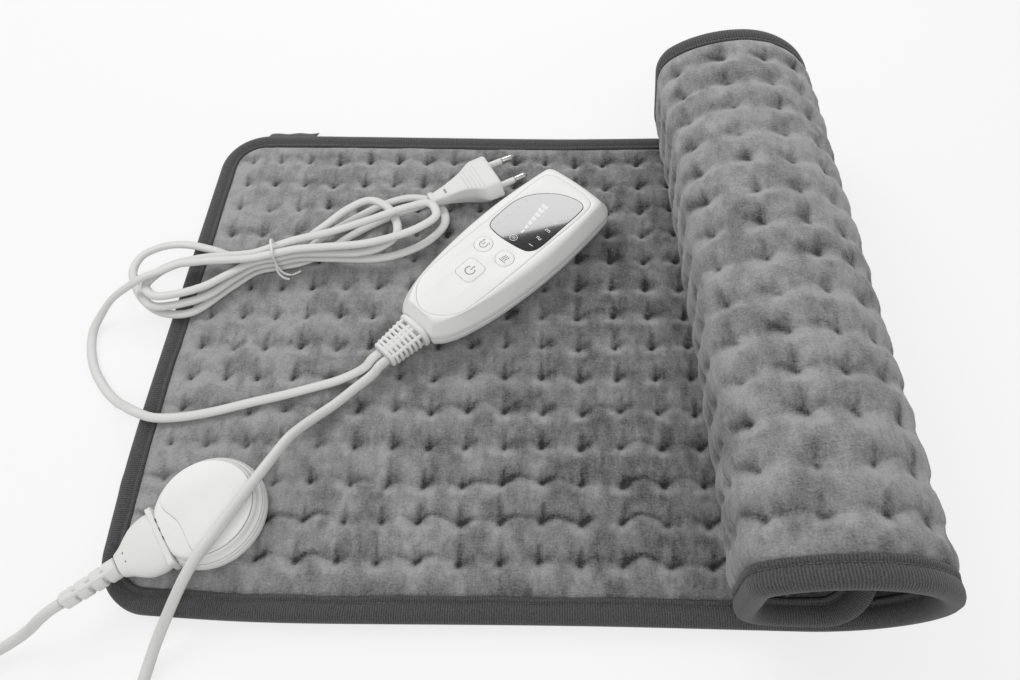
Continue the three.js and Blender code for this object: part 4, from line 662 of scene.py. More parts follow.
# Tufts, in columns along the pad and rows across it
PITCH = 19.2
TUFT_COLUMNS = 30
TUFT_ROWS = 14
FIRST_S = PAD_LENGTH / 2 - (TUFT_COLUMNS - 1) / 2 * PITCH
FIRST_Y = PAD_WIDTH / 2 - (TUFT_ROWS - 1) / 2 * PITCH
CORNER_RADIUS = 28
# Widths of the binding's band and of the cover's rounding beside it
BAND = 11
RIM_WIDTH = 8


def edge_at(offset, inset_by):
    """How far in the rounded outline's edge is, at an offset from the neighbouring side."""
    reach = CORNER_RADIUS - inset_by
    deep = np.clip(CORNER_RADIUS - offset, 0, reach)
    return CORNER_RADIUS - np.sqrt(reach ** 2 - deep ** 2)


def value_noise(u, v, seed):
    """Smooth noise from -1 to 1 over a plane."""
    rng = np.random.default_rng(seed)
    grid = rng.uniform(-1, 1, (67, 67))
    i, j = np.floor(u).astype(int), np.floor(v).astype(int)
    a, b = u - i, v - j
    a, b = a * a * a * (a * (6 * a - 15) + 10), b * b * b * (b * (6 * b - 15) + 10)
    i, j = i % 66, j % 66
    low = grid[i, j] * (1 - a) + grid[i + 1, j] * a
    high = grid[i, j + 1] * (1 - a) + grid[i + 1, j + 1] * a
    return low * (1 - b) + high * b


def edge_distance(s, y):
    """Distance inwards from the pad's rounded outline."""
    a = np.minimum(s, PAD_LENGTH - s)
    b = np.minimum(y, PAD_WIDTH - y)
    round_corner = CORNER_RADIUS - np.hypot(CORNER_RADIUS - a, CORNER_RADIUS - b)
    return np.where((a < CORNER_RADIUS) & (b < CORNER_RADIUS), round_corner, np.minimum(a, b))


def tuft_places(s, y, seed):
    """Offsets from the nearest tuft, and its number along and across."""
    ws = s + 1.6 * value_noise(s / 31, y / 27, seed) + 0.5 * value_noise(s / 9, y / 11, seed + 1)
    wy = y + 1.5 * value_noise(s / 26, y / 33, seed + 2) + 0.5 * value_noise(s / 11, y / 9, seed + 3)
    a = (ws - FIRST_S) / PITCH
    b = (wy - FIRST_Y) / PITCH
    ka = np.clip(np.round(a), 0, TUFT_COLUMNS - 1)
    kb = np.clip(np.round(b), 0, TUFT_ROWS - 1)
    return (a - ka) * PITCH, (b - kb) * PITCH, ka, kb


def between(d):
    """From 0 at a tuft to 1 midway to the next one."""
    return np.abs(np.sin(np.pi * np.clip(np.abs(d) / PITCH, 0, 0.62)))


def on_roll(s, before, reach):
    """From 0 on the flat part to 1 on the roll."""
    return np.clip((s - FLAT_RUN + before) / reach, 0, 1)


def arched(s, y, seed):
    """Place of the thin crease that arches back from tuft to tuft, and how strong it is."""
    ds = tuft_places(s, y, seed)[0]
    lean = 1 + 0.25 * np.sin(2 * np.pi * ds / PITCH) + 0.5 * value_noise(s / 26, y / 19, seed + 19)
    strength = np.clip(0.45 + 1.2 * value_noise(s / PITCH * 1.1 + 9, y / PITCH * 1.1, seed + 17), 0, 1)
    fading = (0.16 + 0.84 * ridge(y, 85)) * (1 - 0.6 * on_roll(s, 10, 40))
    return 3.1 * lean * between(ds), strength * fading


def quilt(s, y, seed, tuft, crown, lip):
    """Height of a tufted cover over the middle surface: pits in soft dimples, joined by faint creases."""
    ds, dy, ka, kb = tuft_places(s, y, seed)
    a, b = s / PITCH, y / PITCH
    rise = crown - tuft
    depths = np.random.default_rng(seed + 6).uniform(0.75, 1.25, (TUFT_COLUMNS, TUFT_ROWS))
    depth = depths[ka.astype(int), kb.astype(int)]
    h = crown - 0.1 * rise + 0.18 * rise * value_noise(a * 0.9 + 3, b * 0.9 + 5, seed + 4)
    # Creases between neighbouring tufts, deeper along the rows and near the tufts
    rolled = on_roll(s, 10, 40)
    crease = 0.26 + 0.16 * value_noise(a * 0.8, b * 0.8, seed + 5) + 0.04 * rolled
    h = h - rise * crease * ridge(dy, 3.4 + 1.2 * rolled) * (0.35 + 0.65 * (1 - between(ds)) + 0.3 * rolled)
    h = h - (0.2 * rolled + 0.12 * ridge(ds, 3.0)) * rise * (1 - between(dy))
    h = h - rise * depth * (0.36 * bell(ds, dy, 6.0, 5.0) + 0.5 * bell(ds, dy, 1.5, 1.3))
    arch, strength = arched(s, y, seed)
    h = h + strength * (0.35 * ridge(dy - arch + 3.0, 2.2) - ridge(dy - arch, 1.1))
    # The pile piles up on one side of each pit and falls away behind it
    h = h + 0.5 * bell(ds + 2.5, dy + 3.6, 4.2, 2.4) - 0.55 * bell(ds - 3.0, dy - 1.6, 4.2, 2.4)
    # Puckers that run out from the tufts, and unevenness of the filling
    pucker = np.sin(np.arctan2(dy, ds) * 5 + 6 * value_noise(ka * 1.7, kb * 1.3, seed + 7))
    h = h + 0.26 * pucker * ridge(np.hypot(ds, dy) - 5, 3.2)
    for height, along, wide, draw in ((0.3, 6.2, 8.5, 8), (0.15, 2.3, 4.6, 9), (0.07, 1.5, 3.4, 10)):
        h = h + height * value_noise(s / along, y / wide, seed + draw)
    # Wrinkles that run in from the front and left edges
    near_front = ridge(y - 30, 26) * np.clip((FLAT_RUN + 20 - s) / 60, 0, 1)
    folds = 1 - 2 * np.abs(value_noise(s / 7.5 + 0.06 * y, y / 24, seed + 15))
    side_folds = 1 - 2 * np.abs(value_noise(s / 22, y / 7.0 + 0.05 * s, seed + 16))
    h = h - 0.75 * near_front * np.clip(folds - 0.35, 0, 1)
    h = h - 0.49 * ridge(s - 30, 20) * np.clip(side_folds - 0.35, 0, 1)
    h = np.maximum(h, tuft - 0.6)
    t = np.clip((edge_distance(s, y) - BAND) / RIM_WIDTH, 0, 1)
    return lip + (h - lip) * np.sqrt(np.clip(1 - (1 - t) ** 2, 0, 1))


def pile_and_painted_shade(s, y, h, seed, rolled_light):
    """How the pile lies, with painted light and shade, from 0, dark, to 1, light: light before each pit and
    dark behind it, painted shade in the pits, in the creases and on slopes that face the front, and painted
    light towards the left end and over the roll.
    """
    ds, dy, ka, kb = tuft_places(s, y, seed)
    # Painted shade on slopes that face the front, painted light on those that face the back
    slope = np.gradient(h, axis=1) / (np.gradient(y, axis=1) + 1e-9)
    nap_and_shade = 0.52 - 0.17 * np.tanh(1.6 * slope)
    uneven = 0.95 + 0.6 * value_noise(s / 23, y / 21, seed + 14)
    for depth, right, behind, wide, long in ((0.26, -4.0, -0.8, 3.0, 3.0), (0.26, 0.5, -3.6, 4.4, 1.9),
                                             (-0.26, 1.8, 1.2, 2.4, 1.5), (-0.14, 5.0, 3.0, 3.2, 2.2)):
        nap_and_shade = nap_and_shade + uneven * depth * bell(ds - right, dy - behind, wide, long)
    # Painted shade in each pit
    nap_and_shade = nap_and_shade - 0.66 * bell(ds, dy, 1.25, 1.05)
    # Painted shade in the arched crease, painted light on the fold before it
    arch, strength = arched(s, y, seed)
    nap_and_shade = nap_and_shade + strength * (0.16 * ridge(dy - arch + 2.6, 1.9) - 0.34 * ridge(dy - arch - 0.5, 1.1))
    # Painted shade in a strip that runs back from each pit, painted light beside it
    nap_and_shade = nap_and_shade - 0.2 * bell(ds - 0.4, dy - 5.5, 1.2, 4.0) + 0.12 * bell(ds + 2.4, dy - 4.5, 1.7, 5.0)
    cells = np.random.default_rng(seed + 18).uniform(-0.08, 0.08, (TUFT_COLUMNS + 2, TUFT_ROWS + 2))
    nap_and_shade = nap_and_shade + cells[(ka + (ds > 0)).astype(int), (kb + (dy > 0)).astype(int)]
    for height, along, wide, draw in ((0.14, 15, 12, 11), (0.15, 5.2, 7.5, 12), (0.10, 1.9, 6.5, 13)):
        nap_and_shade = nap_and_shade + height * value_noise(s / along, y / wide, seed + draw)
    # Painted light towards the pad's left end, and over the roll, lighter towards its back
    rolled = on_roll(s, 0, 30)
    flat_light = 0.1 + 0.26 * np.clip(1 - s / 150, -0.4, 1)
    return nap_and_shade + flat_light * (1 - rolled) + (rolled_light + 0.16 * y / PAD_WIDTH) * rolled


# How far the covers stay inside the binding, and how many fine steps of a cover meet one of its inside
COVER_INSET = 2.2
COARSE = 4


def grid_quads(ids):
    """Faces of a grid of numbered points."""
    return np.stack([ids[:-1, :-1], ids[1:, :-1], ids[1:, 1:], ids[:-1, 1:]], axis=-1).reshape(-1, 4)


def cover(name, sign, inner, tuft, crown, lip, seed, step, rolled_light, node):
    """One cover of the pad: tufted plush outside, plain inside, closed at its rim."""
    count_s, count_y = (COARSE * int(round((size - 2 * COVER_INSET) / step / COARSE))
                        for size in (PAD_LENGTH, PAD_WIDTH))
    s = np.linspace(COVER_INSET + 0.1, PAD_LENGTH - COVER_INSET - 0.1, count_s + 1)
    y0 = np.linspace(COVER_INSET, PAD_WIDTH - COVER_INSET, count_y + 1)
    edge = edge_at(np.minimum(s, PAD_LENGTH - s), COVER_INSET)[:, None]
    off = np.minimum(y0, PAD_WIDTH - y0)[None, :]
    r = CORNER_RADIUS
    moved = np.where(off < r, edge + (off - COVER_INSET) * (r - edge) / (r - COVER_INSET), off)
    y = np.where(y0[None, :] < PAD_WIDTH / 2, moved, PAD_WIDTH - moved)
    s = np.broadcast_to(s[:, None], y.shape)
    h = quilt(s, y, seed, tuft, crown, lip)
    if sign < 0:
        # The underside lies pressed flat on the table
        limit = MIDDLE - 0.35 * ridge(h - MIDDLE, 1.2)
        h = np.where(s < FLAT_RUN + 6, np.minimum(h, limit), h)
    # The pile's lie with painted light and shade, for the fleece's colour
    nap_and_shade = np.clip(pile_and_painted_shade(s, y, h, seed, rolled_light), 0, 1)
    outside = on_pad(s, y, sign * h).reshape(-1, 3)
    coarse_s, coarse_y = s[::COARSE, ::COARSE], y[::COARSE, ::COARSE]
    inside = on_pad(coarse_s, coarse_y, float(inner)).reshape(-1, 3)
    fine = np.arange(y.size).reshape(y.shape)
    rough = y.size + np.arange(coarse_y.size).reshape(coarse_y.shape)
    faces = grid_quads(fine).tolist() + grid_quads(rough)[:, [0, 3, 2, 1]].tolist()
    for outer, inner_ids in ((fine[::-1, 0], rough[::-1, 0]), (fine[:, -1], rough[:, -1]),
                             (fine[0], rough[0]), (fine[-1, ::-1], rough[-1, ::-1])):
        outer, inner_ids = outer.tolist(), inner_ids.tolist()
        for q in range(len(inner_ids) - 1):
            span = outer[q * COARSE: (q + 1) * COARSE + 1]
            faces.append([*reversed(span), inner_ids[q], inner_ids[q + 1]])
    if sign < 0:
        faces = [list(reversed(face)) for face in faces]
    made = make(name, np.concatenate([outside, inside]), faces, FLEECE, slot="plush", node=node)
    paint(made, "nap_and_shade", np.concatenate([nap_and_shade.ravel(), np.full(len(inside), 0.5)]))


# Each cover's side, heights of its inside, pits, crown and rim over the middle surface, seed, step, painted
# light on the roll
step = 1.1
cover("upper_plush_cover", 1, 0.6, 1.9, 5.3, 2.1, 11, step, -0.4, "top_cover")
cover("lower_plush_cover", -1, -2.1, 3.3, 6.0, 3.6, 51, step, 0.12, "bottom_cover")


# Binding: a ribbed tape folded round the pad's edge
def outline(steps_per_100, corner_steps):
    """Places round the pad's outline, each with the direction inwards."""
    r = CORNER_RADIUS
    arcs = [(r, r, 180), (PAD_LENGTH - r, r, 270), (PAD_LENGTH - r, PAD_WIDTH - r, 0), (r, PAD_WIDTH - r, 90)]
    out = []
    for index, (cx, cy, start) in enumerate(arcs):
        for q in range(corner_steps):
            angle = math.radians(start + 90 * q / corner_steps)
            c, t = math.cos(angle), math.sin(angle)
            out.append((cx + r * c, cy + r * t, -c, -t))
        length = (PAD_LENGTH if index % 2 == 0 else PAD_WIDTH) - 2 * r
        angle = math.radians(start + 90)
        c, t = math.cos(angle), math.sin(angle)
        steps = int(steps_per_100 * length / 100)
        for q in range(steps):
            run = length * q / steps
            out.append((cx + r * c - run * t, cy + r * t + run * c, -c, -t))
    return np.array(out)


edge = outline(40, 20)
runs = np.concatenate([[0], np.cumsum(np.hypot(*(np.diff(edge[:, :2], axis=0).T)))])
JOINT_RUN = float(runs[-1]) - 32
# The tape's section, from its upper inner edge over the fold to the lower one and back inside: inset, height
FOLD = [(10.9, 2.35), (11.3, 2.9), (11.1, 3.6), (10.4, 4.0), (9.6, 3.9), (9.1, 3.4), (8.5, 3.0), (7.9, 3.3),
        (6.6, 3.9), (4.8, 4.1), (3.0, 3.75), (1.4, 2.9), (0.35, 1.5), (0.0, -0.6), (0.35, -2.5), (1.4, -4.1),
        (3.0, -4.85), (5.0, -5.1), (7.0, -4.9), (8.0, -4.5), (8.7, -4.3), (9.3, -4.6), (9.8, -4.95),
        (10.6, -5.0), (11.3, -4.7), (11.3, -4.4), (10.8, -3.9), (8.0, -3.85), (4.2, -3.75), (2.0, -3.3),
        (1.6, -0.6), (2.0, 1.7), (4.2, 2.25), (8.0, 2.3)]


def binding():
    wave = value_noise(runs / 23, runs * 0 + 0.5, 81)
    ripple = value_noise(runs / 8, runs * 0 + 1.5, 82)
    joint = np.exp(-((runs - JOINT_RUN) / 4.2) ** 4)
    rings = []
    for inset_by, n in FOLD:
        inner = inset_by / BAND
        moved = inset_by + (0.5 * wave + 0.15 * ripple) * (0.2 + 0.8 * inner) * (1 if inset_by > 0.4 else 0)
        puff = 0.22 * ripple * math.sin(math.pi * min(inner, 1)) + 0.4 * joint
        lift = n + (puff if n > 0 else -puff * 0.3)
        rings.append(on_pad(edge[:, 0] + edge[:, 2] * moved, edge[:, 1] + edge[:, 3] * moved, lift))
    rings = np.stack(rings, axis=1).tolist()
    made = make("edge_binding_tape", *lofted(rings, looped=True), KNIT, slot="binding", node="edge_binding")
    paint(made, "run", np.repeat(runs * MM, len(FOLD)))


def stitches(name, inset_by, n):
    """Lockstitch along the binding: short raised threads, a little sunk at their ends."""
    parts = []
    pitch, length, radius, sides = 2.6, 2.0, 0.2, 6
    for q in range(int(runs[-1] / pitch)):
        rings = []
        for share, size, sink in ((0, 0.35, -0.22), (0.25, 1, 0), (0.75, 1, 0), (1, 0.35, -0.22)):
            s, y, ds, dy = (float(np.interp(q * pitch + share * length, runs, edge[:, c])) for c in range(4))
            for c, t in turns(sides):
                off = inset_by + radius * size * c
                rise = n + math.copysign(1, n) * (radius * size * t + sink)
                rings.append((s + ds * off, y + dy * off, rise))
        placed = on_pad(*np.array(rings).T).reshape(-1, sides, 3)
        parts.append(lofted(placed.tolist()))
    join(name, parts, THREAD, slot="binding")


binding()
stitches("binding_stitches_upper", 8.5, 3.25)
stitches("binding_stitches_lower", 8.5, -4.7)


# Blank tab at the back edge, folded flat: two layers that droop a little towards their end
def tab():
    x0, x1, y0, y1, z, half_thick = 25, 58, 300.3, 310.8, 5.2, 0.35
    # The pad's edge is pulled out this far here
    shift = 6.3
    rings = []
    for q in range(13):
        x = x0 + (x1 - x0) * q / 12
        bow = 0.35 * math.sin(q * 1.1)
        ring = []
        for y, side in ((y0, -1), (y0 + 4, -1), (y1 - 1, -1), (y1, 0), (y1 - 1, 1), (y0 + 4, 1), (y0, 1)):
            out = (y - y0) / (y1 - y0)
            ring.append(at(x, y + shift - 1.2 * out + 0.3 * bow,
                           z + side * half_thick + bow * out - 4.2 * out ** 1.3))
        rings.append(ring)
    points, faces = lofted(rings)
    made = make("back_edge_tab", points, faces, KNIT, slot="tab", node="fabric_tab")
    paint(made, "run", [p[0] for p in points])


tab()


# Heating layer between the covers, on the pad's path, and the wire stitched under it
FELT_MARGIN = 16
WIRE_LEVEL = -1.2
WIRE_RADIUS = 0.6


def heating_layer():
    s = np.linspace(FIRST_S, FIRST_S + (TUFT_COLUMNS - 1.5) * PITCH, 300)
    near, far = FELT_MARGIN, PAD_WIDTH - FELT_MARGIN
    rings = [on_pad(s, y, n) for y, n in ((near, 0.3), (far, 0.3), (far, -0.3), (near, -0.3))]
    made = make("heating_felt_layer", *lofted(np.stack(rings, axis=1).tolist()), FELT, slot="inner_felt",
                node="heating_layer")


def heating_wire():
    """One serpentine wire under the felt, as a tube that follows the pad."""
    near = FIRST_Y + PITCH
    far = PAD_WIDTH - near
    line = [(FIRST_S + PITCH / 2, near)]
    for i in range(TUFT_COLUMNS // 2 - 1):
        s, away = FIRST_S + PITCH / 2 + 2 * i * PITCH, 1 if i % 2 == 0 else -1
        start, end = (near, far) if away > 0 else (far, near)
        line += [(s, y) for y in np.linspace(start, end, 24)[1:]]
        line += [(s + PITCH * (1 - math.cos(a)), end + away * PITCH * math.sin(a))
                 for a in np.linspace(0, math.pi, 9)[1:]]
    line += [(line[-1][0], y) for y in np.linspace(line[-1][1], near + far - line[-1][1], 24)[1:]]
    line = np.array(line)
    direction = np.gradient(line, axis=0)
    direction /= np.linalg.norm(direction, axis=1)[:, None]
    angle = np.linspace(0, 2 * math.pi, 6, endpoint=False)[None, :]
    side = WIRE_RADIUS * np.cos(angle)
    rings = on_pad(line[:, :1] - direction[:, 1:] * side, line[:, 1:] + direction[:, :1] * side,
                   WIRE_LEVEL + WIRE_RADIUS * np.sin(angle))
    make("heating_wire_run", *lofted(rings.tolist()), SHEATH, slot="heating_wire", node="heating_wire")


heating_layer()
heating_wire()


# Flat plates with holes, as filled outlines with rounded edges
def plate_mesh(name, outlines, z0, z1, matrix, bevel, steps):
    curve = bpy.data.curves.new(name, "CURVE")
    curve.dimensions = "2D"
    curve.fill_mode = "BOTH"
    curve.extrude = max((z1 - z0) / 2 - bevel, 0) * MM
    curve.bevel_depth = bevel * MM
    curve.bevel_resolution = steps
    curve.offset = -bevel * MM
    for points in outlines:
        spline = curve.splines.new("POLY")
        spline.points.add(len(points) - 1)
        for p, (x, y) in zip(spline.points, points):
            p.co = (x * MM, y * MM, 0, 1)
        spline.use_cyclic_u = True
    holder = bpy.data.objects.new(name + "_outline", curve)
    bpy.context.collection.objects.link(holder)
    bpy.context.view_layer.update()
    mesh = bpy.data.meshes.new_from_object(holder.evaluated_get(bpy.context.evaluated_depsgraph_get()))
    bpy.data.objects.remove(holder)
    bpy.data.curves.remove(curve)
    mesh.transform(matrix @ Matrix.Scale(1 / MM, 4) @ Matrix.Translation((0, 0, (z0 + z1) / 2 * MM)))
    work = bmesh.new()
    work.from_mesh(mesh)
    bmesh.ops.remove_doubles(work, verts=work.verts, dist=1e-6)
    bmesh.ops.recalc_face_normals(work, faces=work.faces)
    work.to_mesh(mesh)
    work.free()
    return mesh


def plate(name, outlines, z0, z1, matrix, material, bevel=0.2, steps=2, degrees=50, **how):
    mesh = plate_mesh(name, outlines, z0, z1, matrix, bevel, steps)
    return sharpen(place(name, mesh, material, **how), degrees)


def plate_parts(*how):
    """A plate's points and faces, for joining."""
    mesh = plate_mesh(*how)
    return [v.co.copy() for v in mesh.vertices], [list(p.vertices) for p in mesh.polygons]


def rounded(x0, x1, y0, y1, radii, steps=10):
    """A rectangle with its own radius at each corner: far front, far back, near back, near front."""
    if isinstance(radii, (int, float)):
        radii = (radii,) * 4
    out = []
    places = [(x1, y0, -1, 1, -90), (x1, y1, -1, -1, 0), (x0, y1, 1, -1, 90), (x0, y0, 1, 1, 180)]
    for r, (cx, cy, sx, sy, start) in zip(radii, places):
        for i in range(steps + 1):
            angle = math.radians(start + 90 * i / steps)
            out.append((cx + sx * r + r * math.cos(angle), cy + sy * r + r * math.sin(angle)))
    return out


def circle(radius, cx=0.0, cy=0.0, sides=40):
    return [(cx + radius * math.cos(2 * math.pi * i / sides), cy + radius * math.sin(2 * math.pi * i / sides))
            for i in range(sides)]


def inset(points, distance):
    """An outline moved inwards, edge by edge."""
    out = []
    count = len(points)
    for i, (x, y) in enumerate(points):
        bx, by = points[i - 1]
        ax, ay = points[(i + 1) % count]
        a = Vector((x - bx, y - by)).normalized()
        b = Vector((ax - x, ay - y)).normalized()
        normal = Vector((-a.y - b.y, a.x + b.x)).normalized()
        reach = distance / max(normal.x * -a.y + normal.y * a.x, 1e-6)
        out.append((x + normal.x * reach, y + normal.y * reach))
    return out


def grown(points, distance):
    return inset(points, -distance)


# Controller
LENGTH = 131.4
WIDTH = 57
HEIGHT = 20.5
SIDE_LENGTHS = [0, 0.03, 0.09, 0.19, 0.36, 0.62]
SIDE_WIDTHS = [0.42, 0.55, 0.69, 0.82, 0.94, 1]
FAR_WIDTH = 0.905
FAR_RADIUS = 9
FAR_BULGE = 0.8


def body_outline():
    half = WIDTH / 2
    near = [(a * LENGTH, -b * half) for a, b in zip(SIDE_LENGTHS, SIDE_WIDTHS)]
    for i in range(5):
        angle = -math.pi / 2 + math.pi / 2 * i / 4
        near.append((LENGTH - FAR_BULGE - FAR_RADIUS * (1 - math.cos(angle)),
                     -FAR_WIDTH * half + FAR_RADIUS + FAR_RADIUS * math.sin(angle)))
    return [*near, (LENGTH, 0), *reversed([(x, -y) for x, y in near])]


BODY = body_outline()


def smooth_outline(insetting):
    """The controller's outline at an inset: smooth round the sides, straight across its near end."""
    line = catmull(inset(BODY, insetting), 8)
    a, b = line[-1], line[0]
    straight = [a + (b - a) * t for t in np.arange(1, 8) / 8]
    return [tuple(p) for p in (*line, *straight)]


# The face panel's recess: round towards the cords, nearly straight along the sides
PANEL_SIDE = [(6.3, -3.7), (7.6, -6.6), (10.2, -10.1), (14.2, -13.7), (19.3, -16.3), (26, -17.4), (38, -18.1),
              (75, -18.6), (114.7, -18.4), (119.8, -16.6), (122.2, -12)]
RECESS = curve2([(5.7, 0), *PANEL_SIDE, (123, 0), *[(x, -y) for x, y in reversed(PANEL_SIDE)]], 10, True)
RECESS_FLOOR = 18.8


def run_shares(line):
    """How far round a closed outline each of its points is, from 0 to 1."""
    line = np.array(line)
    steps = np.hypot(*(np.roll(line, -1, axis=0) - line).T)
    return np.concatenate([[0], np.cumsum(steps)[:-1]]) / steps.sum()


RIM_SHARES = run_shares(smooth_outline(5.6))
# The controller's outline starts at its near corner, the recess's in the middle of its near end
RIM_SHARES = (RIM_SHARES + (1 - RIM_SHARES[-4])) % 1
RECESS_SHARES = np.append(run_shares(RECESS), 1)


def panel_ring(insetting):
    """The recess's outline at an inset, with as many points as the controller's outline."""
    moved = inset(RECESS, insetting)
    moved = np.array([*moved, moved[0]])
    return [tuple(float(np.interp(t, RECESS_SHARES, moved[:, axis])) for axis in (0, 1)) for t in RIM_SHARES]


def risen(outline, z):
    return [handset @ Vector((x, y, z)) for x, y in outline]


def outer_rings(profile):
    """Rings round the controller at the insets and heights of a profile."""
    return [risen(smooth_outline(i), z) for i, z in profile]


# The shells' profiles: inset from the controller's outline, height
upper_side = [(0.35, 9.35), (0, 9.6), (0.05, 12.2), (0.2, 12.9), (0.6, 13.6), (1.2, 14.5), (3.6, 18.3),
              (4.2, 19.1)]
# From the bevel's top to the recess: share of the way, height
upper_rim = [(0.14, 19.7), (0.3, 20.15), (0.5, 20.4), (0.75, 20.48)]
panel_edge = [(-0.35, 20.48), (-0.1, 20.4), (0, 20.15), (0, RECESS_FLOOR), (1.4, RECESS_FLOOR), (1.4, 16.8)]
upper_inside = [(6.2, 16.6), (4.0, 15.4), (2.5, 13), (2, 11), (2, 9.35)]
lower_inside = [(9.4, 2.0), (6.8, 2.1), (4.2, 3.0), (2.6, 5.2), (2, 7.4)]
lower_side = curve2([(0, 8.8), (0, 7.4), (0.35, 5.4), (1.2, 3.6), (3.0, 1.7), (5.6, 0.5), (8.2, 0.0)], 4)
WINDOW = curve2([(68.2, 1.3), (69.6, -9.5), (71.0, -13.6), (74.3, -16.2), (78.8, -17.0), (87.5, -17.0),
                 (98.8, -16.7), (111.5, -16.2), (114.9, -15.3), (116.4, -13.0), (116.6, -8.4), (114.2, -0.4),
                 (109.9, 6.1), (104.4, 11.5), (97.6, 15.5), (90.6, 17.2), (78.5, 17.0), (73.0, 16.4),
                 (69.6, 14.4), (68.3, 9.4)], 5, True)
TIMER = (57.9, 7.6)
HEAT = (58.8, -8.2)
KEY_RADIUS = 5.3
KEY_GAP = 0.14
KEY_FLANGE = 1.2
KEY_TOP = HEIGHT + 0.2
GLASS_TOP = HEIGHT + 0.08
POWER = rounded(33.7, 47.5, -6.4, 6.4, 3.2, 6)
KEY_HOLES = [circle(KEY_RADIUS + KEY_GAP, *TIMER), circle(KEY_RADIUS + KEY_GAP, *HEAT), grown(POWER, KEY_GAP)]


def shells():
    bevel_top = np.array(smooth_outline(upper_side[-1][0]))
    recess_edge = np.array(panel_ring(panel_edge[0][0]))
    rings = outer_rings(upper_side)
    rings += [risen(bevel_top + (recess_edge - bevel_top) * t, z) for t, z in upper_rim]
    rings += [risen(panel_ring(i), z) for i, z in panel_edge]
    rings += outer_rings(upper_inside)
    floor = plate_parts("floor", [inset(RECESS, 1.1), inset(WINDOW, 2.4), *KEY_HOLES], 16.9, RECESS_FLOOR,
                        handset, 0.05, 0)
    mould("handset_upper_housing", [lofted(rings, looped=True), floor], WHITE, None, 38, slot="white_plastic",
          node="handset_upper_shell")
    rings = outer_rings([*lower_inside, (2, 9.0), (0.3, 9.0), *lower_side])
    mould("handset_lower_housing", [lofted(rings)], WHITE, None, 38, slot="white_plastic",
          node="handset_lower_shell")


shells()
plate("handset_face_panel", [inset(RECESS, 0.12), grown(WINDOW, 0.16), *KEY_HOLES], RECESS_FLOOR + GAP,
      HEIGHT + 0.05, handset, SATIN, 0.22, slot="panel", node="face_panel")
plate("display_glass", [WINDOW], RECESS_FLOOR + GAP, GLASS_TOP, handset, BLACK, 0.3, degrees=12,
      slot="display_black", node="display_window")


def cap(key, top, flange):
    """A button's cap with its hidden flange."""
    parts = [plate_parts(f"{key}_cap", [top], 16.2, KEY_TOP, handset, 0.35, 3),
             plate_parts(f"{key}_cap_flange", [flange], 15.7, 16.5, handset, 0.1, 1)]
    mould(f"{key}_cap", parts, SATIN, None, 50, body=f"{key}_key", slot="soft_white", node=f"{key}_button")


cap("power", POWER, grown(POWER, KEY_FLANGE))
cap("timer", circle(KEY_RADIUS, *TIMER), circle(KEY_RADIUS + KEY_FLANGE, *TIMER))
cap("heat", circle(KEY_RADIUS, *HEAT), circle(KEY_RADIUS + KEY_FLANGE, *HEAT))


# Printed symbols: thin strokes that lie on the surface
def stroke(points, width):
    """The outline of a line of a given width with square ends."""
    left, right = [], []
    for i, (x, y) in enumerate(points):
        bx, by = points[max(i - 1, 0)]
        ax, ay = points[min(i + 1, len(points) - 1)]
        d = Vector((ax - bx, ay - by)).normalized()
        left.append((x - d.y * width / 2, y + d.x * width / 2))
        right.append((x + d.y * width / 2, y - d.x * width / 2))
    return left + right[::-1]


def arc(cx, cy, r, start, end, steps=24):
    return [(cx + r * math.cos(math.radians(start + (end - start) * i / steps)),
             cy + r * math.sin(math.radians(start + (end - start) * i / steps))) for i in range(steps + 1)]


def marks(name, outlines, z, material, body="pad"):
    parts = [plate_parts(f"{name}_{k}", [points], z - 0.03, z + 0.05, handset, 0.0, 0)
             for k, points in enumerate(outlines)]
    join(name, parts, material, body=body, smooth=False)


marks("power_symbol", [stroke(arc(40.4, 0, 2.7, 40, 320), 0.55), stroke([(40.8, 0), (44.2, 0)], 0.55)],
      KEY_TOP, PRINT, "power_key")
# The timer's symbol is a clock with two bells, the heat's three waves beside a bar, round their keys' middles
tx, ty = TIMER
strokes = [((0, 0), (1.5, 0)), ((0, 0), (-0.6, 1.1)), ((3.0, -1.5), (1.9, -2.8)), ((3.0, 1.4), (2.1, 2.6))]
marks("timer_symbol", [stroke(arc(tx, ty, 2.2, 20, 320), 0.42),
                       *[stroke([(tx + x, ty + y) for x, y in line], 0.4) for line in strokes]],
      KEY_TOP, PRINT, "timer_key")
hx, hy = HEAT
wave = [(hx - 1.3 + 3.6 * i / 16, hy + 0.34 * math.sin(i * 2 * math.pi / 16)) for i in range(17)]
waves = [stroke([(x, y + off) for x, y in wave], 0.4) for off in (-1.2, 0, 1.2)]
waves.append(stroke([(hx - 2.1, hy - 2.3), (hx - 2.1, hy + 2.3)], 0.42))
marks("heat_symbol", waves, KEY_TOP, PRINT, "heat_key")


